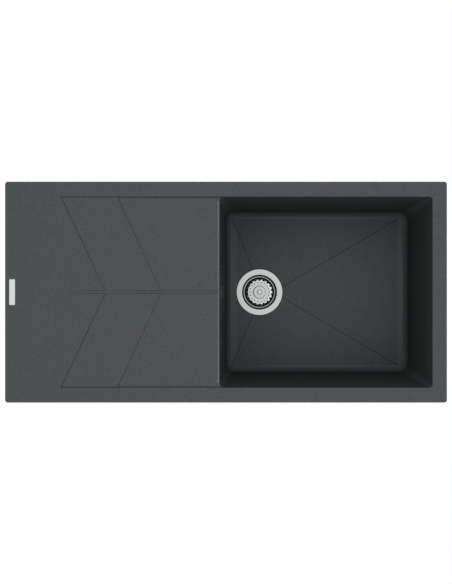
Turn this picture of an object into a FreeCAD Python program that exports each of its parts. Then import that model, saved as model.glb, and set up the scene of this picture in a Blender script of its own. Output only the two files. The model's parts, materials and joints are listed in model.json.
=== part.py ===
"""Inset kitchen sink: cast granite-composite bowl and drainboard, basket strainer, overflow and clamps.

Millimetres.  The origin is the centre of the outer rectangle in the plane of the worktop, which is
the underside of the rim.  +X runs from the drainboard to the bowl, +Y to the rear and +Z up.
"""
import FreeCAD, Part
import Sketcher
import math
import os

Vector = FreeCAD.Vector
doc = FreeCAD.newDocument("KitchenSink")

# ---------------------------------------------------------------- driving dimensions
SIZES = (
    # casting
    ("sink_length", 1000, "outer length, left to right"),
    ("sink_width", 500, "outer width, front to rear"),
    ("sink_corner_radius", 6, "outer corners in plan"),
    ("rim_height", 9, "top of the deck above the worktop"),
    ("rim_edge_radius", 2.5, "rounding round the top of the rim"),
    ("rim_overlap", 10, "rim resting on the worktop past the cut-out"),
    ("skirt_gap", 4, "cut-out edge to the skirt that drops into it"),
    ("skirt_thickness", 12, "wall of the skirt"),
    ("skirt_drop", 18, "skirt below the worktop's surface"),
    ("deck_thickness", 12.5, "slab of the drainboard"),
    ("rib_thickness", 5, "stiffening ribs under the drainboard"),
    ("rib_spacing", 110, "cross rib to cross rib"),
    ("rib_rise", 3, "ribs end this far above the skirt's lower edge"),
    # bowl
    ("bowl_length", 482, "opening, left to right"),
    ("bowl_end_rim", 33, "rim at the right of the opening"),
    ("bowl_side_rim", 34, "rim in front of and behind the opening"),
    ("bowl_depth", 190, "deck to the edge of the bowl's floor"),
    ("bowl_draft", 20, "how far the walls lean in from deck to floor"),
    ("bowl_left_draft", 16, "the same for the steeper wall beside the drainboard"),
    ("bowl_top_corner", 7, "corner radius of the opening"),
    ("bowl_base_corner", 24, "corner radius of the walls at the floor"),
    ("bowl_wall", 8.5, "thickness of the walls"),
    ("bowl_floor_thickness", 10, "floor under its lowest point"),
    ("floor_fillet", 16, "radius between walls and floor"),
    ("floor_fall", 4, "fall of the floor from its edge to the drain"),
    ("floor_border", 15, "level border at the foot of the walls"),
    ("floor_border_right", 20.5, "the same at the right wall"),
    ("valley_start", 104, "opening's left edge to the line the four floor planes fall to"),
    ("valley_end", 132, "opening's left edge to the far end of that line"),
    ("crease_width", 1.8, "groove along each crease at the bowl's corner"),
    ("crease_depth", 0.8, "depth of that groove"),
    ("lip_radius", 3, "rounded lip between drainboard and bowl"),
    ("lip_runout", 9, "the lip's rounding begins to die away this far from each corner"),
    ("lip_margin", 3, "and has died away this far from it"),
    ("opening_radius", 1.2, "rounding of the opening's other edges"),
    # drainboard
    ("step_one_corner", -373, "first chevron at the sides of the drainboard"),
    ("step_one_apex", -272, "first chevron at the centre line"),
    ("step_two_corner", -245, "second chevron at the sides"),
    ("step_two_apex", -146, "second chevron at the centre line"),
    ("step_one_drop", 1.2, "first step at the centre line"),
    ("step_two_level", 2.83, "second step's foot below the deck at the centre line"),
    ("facet_lap", 6, "first facets run on past the second chevron"),
    ("drain_slope", 0.29, "degrees, facets falling towards the bowl"),
    ("facet_one_tilt", 0.35, "degrees, first facets falling to the sides"),
    ("facet_two_tilt", 0.5, "degrees, second facets falling to the sides"),
    ("step_draft", 25, "degrees, lean of the steps and of the recess's sides"),
    ("recess_margin", 0.5, "recess's sides outside the line of the bowl's opening"),
    ("channel_width", 6.4, "floor of the centre channel"),
    ("channel_start", -369, "where the channel runs out into the deck"),
    ("channel_slope", 0.96, "degrees, fall of the channel up to the second chevron"),
    ("channel_depth", 0.9, "channel below the second facets"),
    # badge plate
    ("badge_width", 13, "across the sink"),
    ("badge_length", 58, "front to rear"),
    ("badge_inset", 10, "outer edge of the sink to the plate"),
    ("badge_thickness", 1, "sheet"),
    ("badge_recess", 0.6, "depth of its pocket in the deck"),
    ("badge_corner", 1, "corner radius"),
    # sealing strip
    ("strip_width", 5, "sealing strip under the rim"),
    ("strip_inset", 4, "outer edge of the rim to the strip"),
    ("strip_thickness", 1.5, "depth of its groove"),
    # clamps
    ("worktop_thickness", 40, "thickest worktop that the clamps reach"),
    ("clamp_left_inset", 100, "left end of the sink to the first clamp of each row"),
    ("clamp_right_inset", 120, "right end of the sink to the last clamp of each row"),
    ("clamp_travel", 10, "how far a clamp screw draws its arm up"),
    ("boss_radius", 7, "clamp boss under the deck"),
    ("dowel_radius", 4, "plastic dowel in the boss"),
    ("dowel_length", 22, "dowel"),
    ("dowel_spare", 1, "dowel past the screw's end when the clamp is tight"),
    ("screw_radius", 2.5, "M5 clamp screw"),
    ("screw_clearance", 0.08, "dowel, washer and arm round the screw"),
    ("screw_head_radius", 4.6, "hexagon head, to its corners"),
    ("screw_head_height", 3.5, "hexagon head"),
    ("washer_radius", 6.5, "washer under the arm"),
    ("washer_thickness", 1.2, "washer under the arm"),
    ("arm_width", 11, "clamp arm"),
    ("arm_length", 33, "screw to the tip of the arm"),
    ("arm_thickness", 2.5, "pressed steel"),
    ("arm_rise", 7, "tip above the arm's foot"),
    ("arm_heel", 5.8, "screw to the arm's rounded heel"),
    ("arm_bend", 12, "screw to the arm's upward bend"),
    ("tooth_height", 2.5, "turned-up tooth at the arm's tip"),
    ("arm_float", 0.1, "arm above its washer when loose"),
    # drain
    ("drain_inset", 98.3, "opening's left edge to the centre of the drain"),
    ("drain_hole_radius", 45, "hole through the floor"),
    ("flange_radius", 57, "strainer flange"),
    ("flange_gap", 1, "round the flange in its seat"),
    ("flange_set_down", 0.2, "flange below the floor's lowest point"),
    ("sheet", 1, "stainless sheet of flange and basket lid"),
    ("dish_mouth_radius", 42.4, "inner edge of the flange"),
    ("dish_ledge_depth", 11, "flange to the ledge"),
    ("dish_ledge_outer", 39.4, "ledge, outer radius"),
    ("dish_ledge_inner", 36.6, "ledge, inner radius"),
    ("dish_well_radius", 35.5, "well below the ledge"),
    ("dish_depth", 31, "flange to the bottom of the well"),
    ("hub_radius", 11, "screw recess in the middle of the dish"),
    ("hub_depth", 10, "that recess below the dish's bottom"),
    ("drain_port_radius", 6.5, "ports in the dish's bottom"),
    ("drain_port_circle", 22.5, "radius the ports stand on"),
    ("drain_port_count", 8, "ports"),
    ("flange_seal_thickness", 1.5, "rubber ring under the flange"),
    ("seal_margin", 1, "rubber rings inside the edges they lie between"),
    # waste body
    ("gasket_thickness", 2, "under the bowl"),
    ("waste_flange_radius", 56, "top flange of the waste body"),
    ("waste_flange_thickness", 4, "top flange of the waste body"),
    ("waste_bore_radius", 42, "inside of the waste body"),
    ("waste_wall", 3, "its wall"),
    ("waste_depth", 50, "sink's flange to the foot of the waste body's wall"),
    ("outlet_radius", 23.9, "G1 1/2 outlet thread, outside"),
    ("outlet_length", 24, "outlet spigot"),
    ("cone_height", 13, "waste body narrowing to the outlet"),
    ("spider_radius", 7, "hub that the centre screw pulls on"),
    ("spider_height", 13, "hub and its arms"),
    ("spider_gap", 1, "dish to hub"),
    ("spider_fit", 0.05, "arms inside the waste body's wall"),
    ("spider_arm_count", 3, "arms of the hub"),
    ("centre_screw_radius", 4, "M8 centre screw"),
    ("centre_head_radius", 7.4, "its hollow head"),
    ("centre_head_height", 9, "its hollow head"),
    ("insert_radius", 5.6, "brass insert in the hub"),
    # basket
    ("basket_clearance", 0.2, "seal above the dish when seated"),
    ("seal_radius", 33.5, "basket's rubber seal"),
    ("seal_thickness", 2, "basket's rubber seal"),
    ("basket_sheet", 0.8, "sheet of the basket's cup"),
    ("basket_top_radius", 27.6, "cup under the lid"),
    ("basket_base_radius", 26, "cup at its bottom"),
    ("lid_depth", 3, "lid below the flange"),
    ("lid_flat_radius", 28.2, "flat of the lid"),
    ("lid_radius", 32.4, "tips of the teeth"),
    ("tooth_drop", 2.4, "teeth bent down from the lid"),
    ("tooth_count", 18, "teeth round the lid"),
    ("tooth_gap", 3.8, "between two teeth"),
    ("lid_hole_radius", 1.1, "small holes in the lid"),
    ("lid_hole_circle", 24.5, "radius that they stand on"),
    ("slot_width", 2.6, "slots in the cup's wall"),
    ("slot_height", 13, "slots in the cup's wall"),
    ("slot_count", 20, "slots in the cup's wall"),
    ("knob_radius", 15.2, "pull knob"),
    ("knob_neck_radius", 9.5, "its neck"),
    ("knob_height", 9, "pull knob"),
    ("cap_radius", 6.2, "cap in the knob"),
    ("cap_rise", 0.5, "cap above the knob"),
    ("cap_depth", 2, "cap let into the knob"),
    ("stem_cover", 4, "stem's end below the top of the knob"),
    ("stem_radius", 3, "basket's stem"),
    ("stem_clearance", 0.4, "stem in the hollow head"),
    ("stem_tip", 7, "stem below the seal"),
    ("nut_radius", 6.5, "nuts on the stem, to their corners"),
    ("nut_height", 4, "nuts on the stem"),
    # overflow
    ("overflow_level", -46, "centre of the overflow hole, from the worktop"),
    ("overflow_hole_radius", 15, "hole through the wall"),
    ("grille_radius", 19.5, "grille in the wall"),
    ("grille_gap", 0.5, "round the grille"),
    ("grille_thickness", 2, "grille"),
    ("grille_seat", 1.2, "seat behind the opening's left edge towards the bowl"),
    ("grille_slot", 3, "slots of the grille"),
    ("overflow_boss_radius", 23, "flat boss outside the wall"),
    ("overflow_boss_face", 13, "boss's face from the opening's left edge"),
    ("overflow_gasket_thickness", 2, "behind the wall"),
    ("elbow_depth", 28, "hollow housing behind the wall"),
    ("elbow_flange_radius", 22, "flange on the gasket"),
    ("elbow_flange_thickness", 3, "flange on the gasket"),
    ("elbow_wall", 2.2, "its wall"),
    ("elbow_spigot", 34, "spigot below the housing"),
    ("pipe_radius", 10, "overflow pipe"),
    ("pipe_wall", 1.5, "its wall"),
    ("pipe_fit", 0.2, "pipe in its sockets"),
    ("pipe_insert", 14, "pipe inside each socket"),
    ("pipe_bend", 24, "radius of the pipe's bend"),
    ("socket_wall", 2.2, "socket round the pipe"),
    ("inlet_level", 39, "overflow inlet below the sink's flange"),
    ("inlet_length", 22, "inlet past the waste body's wall"),
    ("slip_nut_radius", 17, "slip nuts, to their corners"),
    ("slip_nut_length", 15, "slip nuts"),
    ("slip_nut_grip", 11, "slip nut over the end of its socket"),
    ("cone_seal_height", 2.5, "rubber ring in each slip nut"),
    ("overflow_screw_radius", 2.5, "M5 through the grille"),
    ("overflow_head_radius", 4.5, "its head"),
    ("overflow_head_height", 1.6, "its head"),
    ("overflow_pillar", 9, "pillar in the housing that the screw bites in"),
)

sheet = doc.addObject("Spreadsheet::Sheet", "Sizes")
for row, (alias, number, meaning) in enumerate(SIZES, start=1):
    sheet.set("A%d" % row, alias)
    sheet.set("B%d" % row, str(number))
    sheet.setAlias("B%d" % row, alias)
    sheet.set("C%d" % row, meaning)
doc.recompute()


class Size:
    """A length as a number and as the expression over the sheet that gives it."""

    def __init__(self, number, text):
        self.number = number
        self.text = text

    def _join(self, other, sign, number):
        return Size(number, "(%s %s %s)" % (self.text, sign, as_size(other).text))

    def __add__(self, other):
        return self._join(other, "+", self.number + as_size(other).number)

    def __radd__(self, other):
        return as_size(other) + self

    def __sub__(self, other):
        return self._join(other, "-", self.number - as_size(other).number)

    def __rsub__(self, other):
        return as_size(other) - self

    def __mul__(self, other):
        return self._join(other, "*", self.number * as_size(other).number)

    def __rmul__(self, other):
        return as_size(other) * self

    def __truediv__(self, other):
        return self._join(other, "/", self.number / as_size(other).number)

    def __rtruediv__(self, other):
        return as_size(other) / self

    def __neg__(self):
        return Size(-self.number, "(-1 * %s)" % self.text)


def tangent(angle):
    """The tangent of an angle in degrees."""
    angle = as_size(angle)
    return Size(math.tan(math.radians(angle.number)), "tan(%s * 1 deg)" % angle.text)


def as_size(value):
    """A Size as it is; a plain number as a Size of that number."""
    return value if isinstance(value, Size) else Size(float(value), repr(float(value)))


class Sheet:
    """The sheet's cells by name, each as a Size."""

    def __getattr__(self, alias):
        return Size(float(sheet.get(alias)), "Sizes." + alias)


size = Sheet()


# ---------------------------------------------------------------- sketches and features
def bind(feature, prop, value):
    """Tie a property to the sheet."""
    feature.setExpression(prop, as_size(value).text)


def bind_placement(feature, prop, position, turn=(0, 0, 0)):
    """Tie a placement to the sheet: position, then yaw, pitch and roll in degrees."""
    vector = "; ".join(as_size(value).text for value in position)
    angles = "; ".join(as_size(value).text for value in turn)
    feature.setExpression(prop, "placement(vector(%s); rotation(%s))" % (vector, angles))


def new_body(label, position=(0, 0, 0), turn=(0, 0, 0)):
    """An empty body at its place."""
    body = doc.addObject("PartDesign::Body", label)
    body.Label = label
    bind_placement(body, "Placement", position, turn)
    return body


def origin_feature(body, role):
    """A plane or axis of the body's own origin."""
    return next(item for item in body.Origin.OriginFeatures if item.Role == role)


def new_sketch(body, name, plane, position=(0, 0, 0), turn=(0, 0, 0)):
    """A sketch on one of the body's planes, moved and turned within that plane's own axes."""
    sketch = body.newObject("Sketcher::SketchObject", name)
    sketch.AttachmentSupport = [(origin_feature(body, plane), "")]
    sketch.MapMode = "FlatFace"
    bind_placement(sketch, "AttachmentOffset", position, turn)
    sketch.Visibility = False
    return sketch


def dimension(sketch, kind, value, *where):
    """A driving constraint tied to the sheet."""
    value = as_size(value)
    index = sketch.addConstraint(Sketcher.Constraint(kind, *where, value.number))
    sketch.setExpression("Constraints[%d]" % index, value.text)


def place_point(sketch, curve, end, x, y):
    """Hold one point of a curve at x, y from the sketch's origin."""
    dimension(sketch, "DistanceX", x, -1, 1, curve, end)
    dimension(sketch, "DistanceY", y, -1, 1, curve, end)


def draw_polygon(sketch, points):
    """A closed outline of straight lines through the given corners."""
    corners = [(as_size(x), as_size(y)) for x, y in points]
    flat = [Vector(x.number, y.number, 0) for x, y in corners]
    lines = [sketch.addGeometry(Part.LineSegment(flat[i - 1], flat[i])) for i in range(len(flat))]
    for i, line in enumerate(lines):
        sketch.addConstraint(Sketcher.Constraint("Coincident", line, 2, lines[(i + 1) % len(lines)], 1))
        place_point(sketch, line, 2, *corners[i])


def draw_circle(sketch, x, y, radius):
    """A circle held by its centre and radius."""
    centre = Vector(as_size(x).number, as_size(y).number, 0)
    circle = sketch.addGeometry(Part.Circle(centre, Vector(0, 0, 1), as_size(radius).number))
    place_point(sketch, circle, 3, x, y)
    dimension(sketch, "Radius", radius, circle)


def draw_rounded_rectangle(sketch, left, right, low, high, radius):
    """A rectangle with its sides parallel to the sketch's axes and four equal rounded corners."""
    x0, x1, y0, y1, r = (as_size(value).number for value in (left, right, low, high, radius))
    ends = ((x0 + r, y0, x1 - r, y0), (x1, y0 + r, x1, y1 - r),
            (x1 - r, y1, x0 + r, y1), (x0, y1 - r, x0, y0 + r))
    centres = ((x1 - r, y0 + r, -90), (x1 - r, y1 - r, 0), (x0 + r, y1 - r, 90), (x0 + r, y0 + r, 180))
    lines, arcs = [], []
    for (ax, ay, bx, by), (cx, cy, start) in zip(ends, centres):
        lines.append(sketch.addGeometry(Part.LineSegment(Vector(ax, ay, 0), Vector(bx, by, 0))))
        circle = Part.Circle(Vector(cx, cy, 0), Vector(0, 0, 1), r)
        span = (math.radians(start), math.radians(start + 90))
        arcs.append(sketch.addGeometry(Part.ArcOfCircle(circle, *span)))
    for i in range(4):
        sketch.addConstraint(Sketcher.Constraint("Tangent", lines[i], 2, arcs[i], 1))
        sketch.addConstraint(Sketcher.Constraint("Tangent", arcs[i], 2, lines[(i + 1) % 4], 1))
        sketch.addConstraint(Sketcher.Constraint("Horizontal" if i % 2 == 0 else "Vertical", lines[i]))
        dimension(sketch, "Radius", radius, arcs[i])
    dimension(sketch, "DistanceY", low, -1, 1, lines[0], 1)
    dimension(sketch, "DistanceX", right, -1, 1, lines[1], 1)
    dimension(sketch, "DistanceY", high, -1, 1, lines[2], 1)
    dimension(sketch, "DistanceX", left, -1, 1, lines[3], 1)


cutting = []
adding = []


def pad(body, name, sketch, length, down=False, both=False, taper=0):
    """Extrude a sketch into material."""
    feature = body.newObject("PartDesign::Pad", name)
    adding.append(feature)
    feature.Profile = sketch
    bind(feature, "Length", length)
    feature.Reversed = down
    feature.SideType = "Symmetric" if both else "One side"
    bind(feature, "TaperAngle", taper)
    return feature


def pocket(body, name, sketch, length, up=False, both=False, taper=0):
    """Extrude a sketch out of material: against the plane's normal, or along it when up."""
    feature = body.newObject("PartDesign::Pocket", name)
    cutting.append(feature)
    feature.Profile = sketch
    bind(feature, "Length", length)
    feature.Reversed = up
    feature.SideType = "Symmetric" if both else "One side"
    bind(feature, "TaperAngle", taper)
    return feature


def loft(body, name, first, last, cuts=False):
    """A ruled solid from one sketch to another."""
    feature = body.newObject("PartDesign::" + ("SubtractiveLoft" if cuts else "AdditiveLoft"), name)
    (cutting if cuts else adding).append(feature)
    feature.Profile = first
    feature.Sections = [last]
    feature.Ruled = True
    return feature


def revolve(body, name, sketch, cuts=False):
    """Turn a sketch round its vertical axis."""
    feature = body.newObject("PartDesign::" + ("Groove" if cuts else "Revolution"), name)
    (cutting if cuts else adding).append(feature)
    feature.Profile = sketch
    feature.ReferenceAxis = (sketch, ["V_Axis"])
    feature.Angle = 360
    return feature


def repeat_round(body, name, features, count):
    """Repeat features round the body's Z axis."""
    doc.recompute()
    pattern = body.newObject("PartDesign::PolarPattern", name)
    pattern.Originals = features
    pattern.Axis = (origin_feature(body, "Z_Axis"), [""])
    pattern.Angle = 360
    bind(pattern, "Occurrences", count)
    body.Tip = pattern
    return pattern


def mirror_rear_to_front(body, name, features):
    """Repeat features on the other side of the XZ plane."""
    doc.recompute()
    mirrored = body.newObject("PartDesign::Mirrored", name)
    mirrored.Originals = features
    mirrored.MirrorPlane = (origin_feature(body, "XZ_Plane"), [""])
    body.Tip = mirrored
    return mirrored


def fillet(body, name, radius, chooses):
    """Round the edges of the body's present solid that the test picks."""
    doc.recompute()
    base = body.Tip
    names = ["Edge%d" % (i + 1) for i, edge in enumerate(base.Shape.Edges) if chooses(edge)]
    feature = body.newObject("PartDesign::Fillet", name)
    feature.Base = (base, names)
    bind(feature, "Radius", radius)
    return feature


def ring(label, inner, outer, foot, height, position):
    """A plain ring about a vertical axis."""
    body = new_body(label, position)
    outline = new_sketch(body, "Ring", "XY_Plane", (0, 0, foot))
    draw_circle(outline, 0, 0, outer)
    draw_circle(outline, 0, 0, inner)
    pad(body, "RingPad", outline, height)
    return body


def within(edge, low, high, slack=0.05):
    """True when the whole edge lies in the box."""
    box = edge.BoundBox
    corners = ((box.XMin, box.YMin, box.ZMin), (box.XMax, box.YMax, box.ZMax))
    return all(low[i] - slack <= corner[i] <= high[i] + slack for corner in corners for i in range(3))


# ---------------------------------------------------------------- levels and places shared by the parts
deck_top = size.rim_height
half_length = size.sink_length / 2
half_width = size.sink_width / 2
skirt_half_length = half_length - size.rim_overlap - size.skirt_gap
skirt_half_width = half_width - size.rim_overlap - size.skirt_gap
slab_underside = deck_top - size.deck_thickness
skirt_foot = -size.skirt_drop

bowl_right = half_length - size.bowl_end_rim
bowl_left = bowl_right - size.bowl_length
bowl_side = half_width - size.bowl_side_rim
floor_edge = deck_top - size.bowl_depth
floor_low = floor_edge - size.floor_fall
bowl_underside = floor_low - size.bowl_floor_thickness

drain_x = bowl_left + size.drain_inset
flange_top = floor_low - size.flange_set_down
flange_seat = flange_top - size.sheet - size.flange_seal_thickness
dish_bottom = flange_top - size.dish_depth
hub_bottom = dish_bottom - size.hub_depth
waste_top = bowl_underside - size.gasket_thickness
waste_foot = flange_top - size.waste_depth
outlet_top = waste_foot - size.cone_height
outlet_foot = outlet_top - size.outlet_length
spider_top = hub_bottom - size.sheet - size.spider_gap
inlet_axis = flange_top - size.inlet_level
waste_outer = size.waste_bore_radius + size.waste_wall

seal_foot = dish_bottom + size.basket_clearance
cup_foot = seal_foot + size.seal_thickness
lid_top = flange_top - size.lid_depth
lid_underside = lid_top - size.sheet

clamp_y = skirt_half_width - size.boss_radius
clamp_pitch = (size.sink_length - size.clamp_left_inset - size.clamp_right_inset) / 3
clamp_xs = [size.clamp_left_inset - half_length + clamp_pitch * step for step in range(4)]
arm_foot = -size.worktop_thickness - size.arm_rise - size.tooth_height
washer_foot = arm_foot - size.arm_float - size.washer_thickness
screw_foot = washer_foot - size.screw_head_height

grille_seat = bowl_left + size.grille_seat
boss_face = bowl_left - size.overflow_boss_face
elbow_back = boss_face - size.overflow_gasket_thickness - size.elbow_depth
pipe_x = elbow_back + size.elbow_depth / 2
screw_end = elbow_back + size.elbow_wall
elbow_outer = size.overflow_hole_radius + size.elbow_wall
spigot_outer = size.pipe_radius + size.pipe_fit + size.socket_wall
spigot_foot = size.overflow_level - elbow_outer - size.elbow_spigot
inlet_end = drain_x - waste_outer - size.inlet_length


# ---------------------------------------------------------------- casting
def bowl_section(body, name, level, drawn_in, grow, corner):
    """One level of the bowl: the opening, drawn in to the foot of the walls or not, and let out by grow."""
    sketch = new_sketch(body, name, "XY_Plane", (0, 0, level))
    inset = size.bowl_draft * drawn_in - grow
    left_inset = size.bowl_left_draft * drawn_in - grow
    sides = (bowl_left + left_inset, bowl_right - inset, inset - bowl_side, bowl_side - inset)
    draw_rounded_rectangle(sketch, *sides, corner)
    return sketch


def rim_sheet_and_skirt(body):
    """The deck plate with its rounded edge, and the skirt that drops into the cut-out."""
    outline = new_sketch(body, "DeckOutline", "XY_Plane")
    draw_rounded_rectangle(
        outline, -half_length, half_length, -half_width, half_width, size.sink_corner_radius)
    pad(body, "Deck", outline, deck_top)
    top = deck_top.number
    fillet(body, "RimEdge", size.rim_edge_radius,
           lambda edge: edge.BoundBox.ZMin > top - 0.01)
    skirt = new_sketch(body, "SkirtOutline", "XY_Plane")
    draw_rounded_rectangle(
        skirt, -skirt_half_length, skirt_half_length, -skirt_half_width, skirt_half_width,
        size.sink_corner_radius)
    pad(body, "Skirt", skirt, size.skirt_drop, down=True)


def bowl_shell(body):
    """The outside of the bowl."""
    shoulder = bowl_section(
        body, "ShellTop", -deck_top / 2, 0, size.bowl_wall, size.bowl_top_corner + size.bowl_wall)
    foot = bowl_section(
        body, "ShellFoot", bowl_underside, 1, size.bowl_wall,
        size.bowl_base_corner + size.bowl_wall)
    loft(body, "BowlShell", shoulder, foot)
    level = bowl_underside.number
    fillet(body, "ShellEdge", size.floor_fillet + size.bowl_wall / 2,
           lambda edge: edge.BoundBox.ZMax < level + 0.01)


def deck_underside(body):
    """The hollow under the drainboard, its ribs and the clamp bosses."""
    edge = size.skirt_thickness
    hollow_left = edge - skirt_half_length
    hollow_right = bowl_left - 2 * size.bowl_wall
    hollow_side = skirt_half_width - edge
    hollow = new_sketch(body, "HollowOutline", "XY_Plane", (0, 0, skirt_foot))
    draw_rounded_rectangle(
        hollow, hollow_left, hollow_right, -hollow_side, hollow_side, size.sink_corner_radius)
    pocket(body, "Hollow", hollow, slab_underside - skirt_foot, up=True)
    rib_height = slab_underside - skirt_foot - size.rib_rise
    for number in (1, 2, 3):
        left = hollow_right - size.rib_spacing * number
        rib = new_sketch(body, "RibOutline%d" % number, "XY_Plane", (0, 0, slab_underside))
        draw_polygon(rib, ((left, -hollow_side), (left + size.rib_thickness, -hollow_side),
                           (left + size.rib_thickness, hollow_side), (left, hollow_side)))
        pad(body, "Rib%d" % number, rib, rib_height, down=True)
    bosses = new_sketch(body, "BossOutlines", "XY_Plane", (0, 0, skirt_foot))
    for x in clamp_xs:
        draw_circle(bosses, x, clamp_y, size.boss_radius)
        draw_circle(bosses, x, -clamp_y, size.boss_radius)
    pad(body, "Bosses", bosses, size.skirt_drop)


def overflow_boss(body):
    """The flat boss outside the bowl's left wall that the overflow housing seals on."""
    boss = new_sketch(body, "OverflowBossOutline", "YZ_Plane", (0, 0, boss_face))
    draw_circle(boss, 0, size.overflow_level, size.overflow_boss_radius)
    pad(body, "OverflowBoss", boss, size.overflow_boss_face)


def bowl_cavity(body):
    """The inside of the bowl: leaning walls, rounded foot and four floor planes falling to a line."""
    mouth = bowl_section(body, "CavityMouth", deck_top, 0, 0, size.bowl_top_corner)
    foot = bowl_section(body, "CavityFoot", floor_edge, 1, 0, size.bowl_base_corner)
    loft(body, "Cavity", mouth, foot, cuts=True)
    level = floor_edge.number
    inner = (bowl_left.number, -bowl_side.number, level)
    outer = (bowl_right.number, bowl_side.number, level)
    fillet(body, "FloorFillet", size.floor_fillet, lambda edge: within(edge, inner, outer))
    top = deck_top.number
    low, high = (inner[0], inner[1], top), (outer[0], outer[1], top)
    fillet(body, "OpeningEdge", size.opening_radius, lambda edge: within(edge, low, high))
    rim = new_sketch(body, "FloorRim", "XY_Plane", (0, 0, floor_edge))
    left = bowl_left + size.bowl_left_draft + size.floor_border
    right = bowl_right - size.bowl_draft - size.floor_border_right
    side = bowl_side - size.bowl_draft - size.floor_border
    draw_polygon(rim, ((left, -side), (right, -side), (right, side), (left, side)))
    valley = new_sketch(body, "FloorValley", "XY_Plane", (0, 0, floor_low))
    start, end = bowl_left + size.valley_start, bowl_left + size.valley_end
    half = size.crease_width / 2
    draw_polygon(valley, ((start, -half), (end, -half), (end, half), (start, half)))
    loft(body, "FloorPlanes", rim, valley, cuts=True)
    creases = [crease(body, "Left", left, start, side, "XZ_Plane"),
               crease(body, "Right", right, end, side, "YZ_Plane")]
    mirror_rear_to_front(body, "FrontCreases", creases)


def crease(body, name, corner_x, valley_x, side, plane):
    """The fine groove from one end of the valley to the bowl's corner behind it."""
    sections = []
    for end, x, y, level, half in (("Valley", valley_x, as_size(0), floor_low, size.crease_width / 4),
                                   ("Corner", corner_x, side, floor_edge, size.crease_width / 2)):
        across, offset = (x, -y) if plane == "XZ_Plane" else (y, x)
        section = new_sketch(body, "Crease%s%s" % (name, end), plane, (0, 0, offset))
        draw_polygon(section, ((across - 2 * half, level + size.crease_depth),
                               (across - half / 2, level - size.crease_depth),
                               (across + half / 2, level - size.crease_depth),
                               (across + 2 * half, level + size.crease_depth)))
        sections.append(section)
    return loft(body, "Crease" + name, *sections, cuts=True)


def drain_seat(body):
    """The hole in the floor with the seat that the strainer flange beds in."""
    seat = new_sketch(body, "FlangeSeat", "XY_Plane", (0, 0, flange_seat))
    draw_circle(seat, drain_x, 0, size.flange_radius + size.flange_gap)
    pocket(body, "FlangeSeatCut", seat, size.bowl_floor_thickness, up=True)
    hole = new_sketch(body, "DrainHole", "XY_Plane", (0, 0, bowl_underside))
    draw_circle(hole, drain_x, 0, size.drain_hole_radius)
    pocket(body, "DrainHoleCut", hole, 2 * size.bowl_floor_thickness, up=True)


def overflow_hole(body):
    """The overflow through the left wall, with the grille's seat on the inside."""
    seat = new_sketch(body, "GrilleSeat", "YZ_Plane", (0, 0, grille_seat))
    draw_circle(seat, 0, size.overflow_level, size.grille_radius + size.grille_gap)
    pocket(body, "GrilleSeatCut", seat, size.bowl_draft, up=True)
    hole = new_sketch(body, "OverflowHole", "YZ_Plane", (0, 0, boss_face))
    draw_circle(hole, 0, size.overflow_level, size.overflow_hole_radius)
    pocket(body, "OverflowHoleCut", hole, size.overflow_boss_face + size.bowl_draft, up=True)


def drainboard(body):
    """Two chevron steps of falling facets and the channel down the middle."""
    past_lip = bowl_left + size.bowl_top_corner
    fall = tangent(size.drain_slope)
    lean = tangent(size.step_draft)
    apex_one, apex_two, lap = size.step_one_apex, size.step_two_apex, size.facet_lap
    steps = (("One", apex_one, size.step_one_corner, size.step_one_drop, size.facet_one_tilt,
              apex_two + lap, size.step_two_corner + lap),
             ("Two", apex_two, size.step_two_corner, size.step_two_level, size.facet_two_tilt,
              past_lip, past_lip))
    for name, apex, corner, drop, tilt, end, end_corner in steps:
        deepest = drop + fall * (end_corner - apex) + tangent(tilt) * bowl_side
        foot = bowl_side + size.recess_margin - deepest * lean
        facet = new_sketch(body, "Facet%sOutline" % name, "XY_Plane", (apex, 0, deck_top - drop),
                           (0, size.drain_slope, -tilt))
        draw_polygon(facet, ((0, 0), (end - apex, 0), (end_corner - apex, foot), (corner - apex, foot)))
        cut = pocket(body, "Facet" + name, facet, deck_top, up=True, taper=size.step_draft)
        mirror_rear_to_front(body, "Facet%sFront" % name, [cut])
    half = size.channel_width / 2
    run_level = deck_top - size.step_two_level - size.channel_depth
    runs = (("Head", size.channel_start, deck_top, size.channel_slope, apex_two),
            ("Run", apex_two - 1, run_level, size.drain_slope, past_lip))
    for name, start, level, slope, end in runs:
        channel = new_sketch(body, "Channel%sOutline" % name, "XY_Plane", (start, 0, level), (0, slope, 0))
        reach = end - start
        draw_polygon(channel, ((0, -half), (reach, -half), (reach, half), (0, half)))
        pocket(body, "Channel" + name, channel, deck_top, up=True, taper=size.step_draft)


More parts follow.
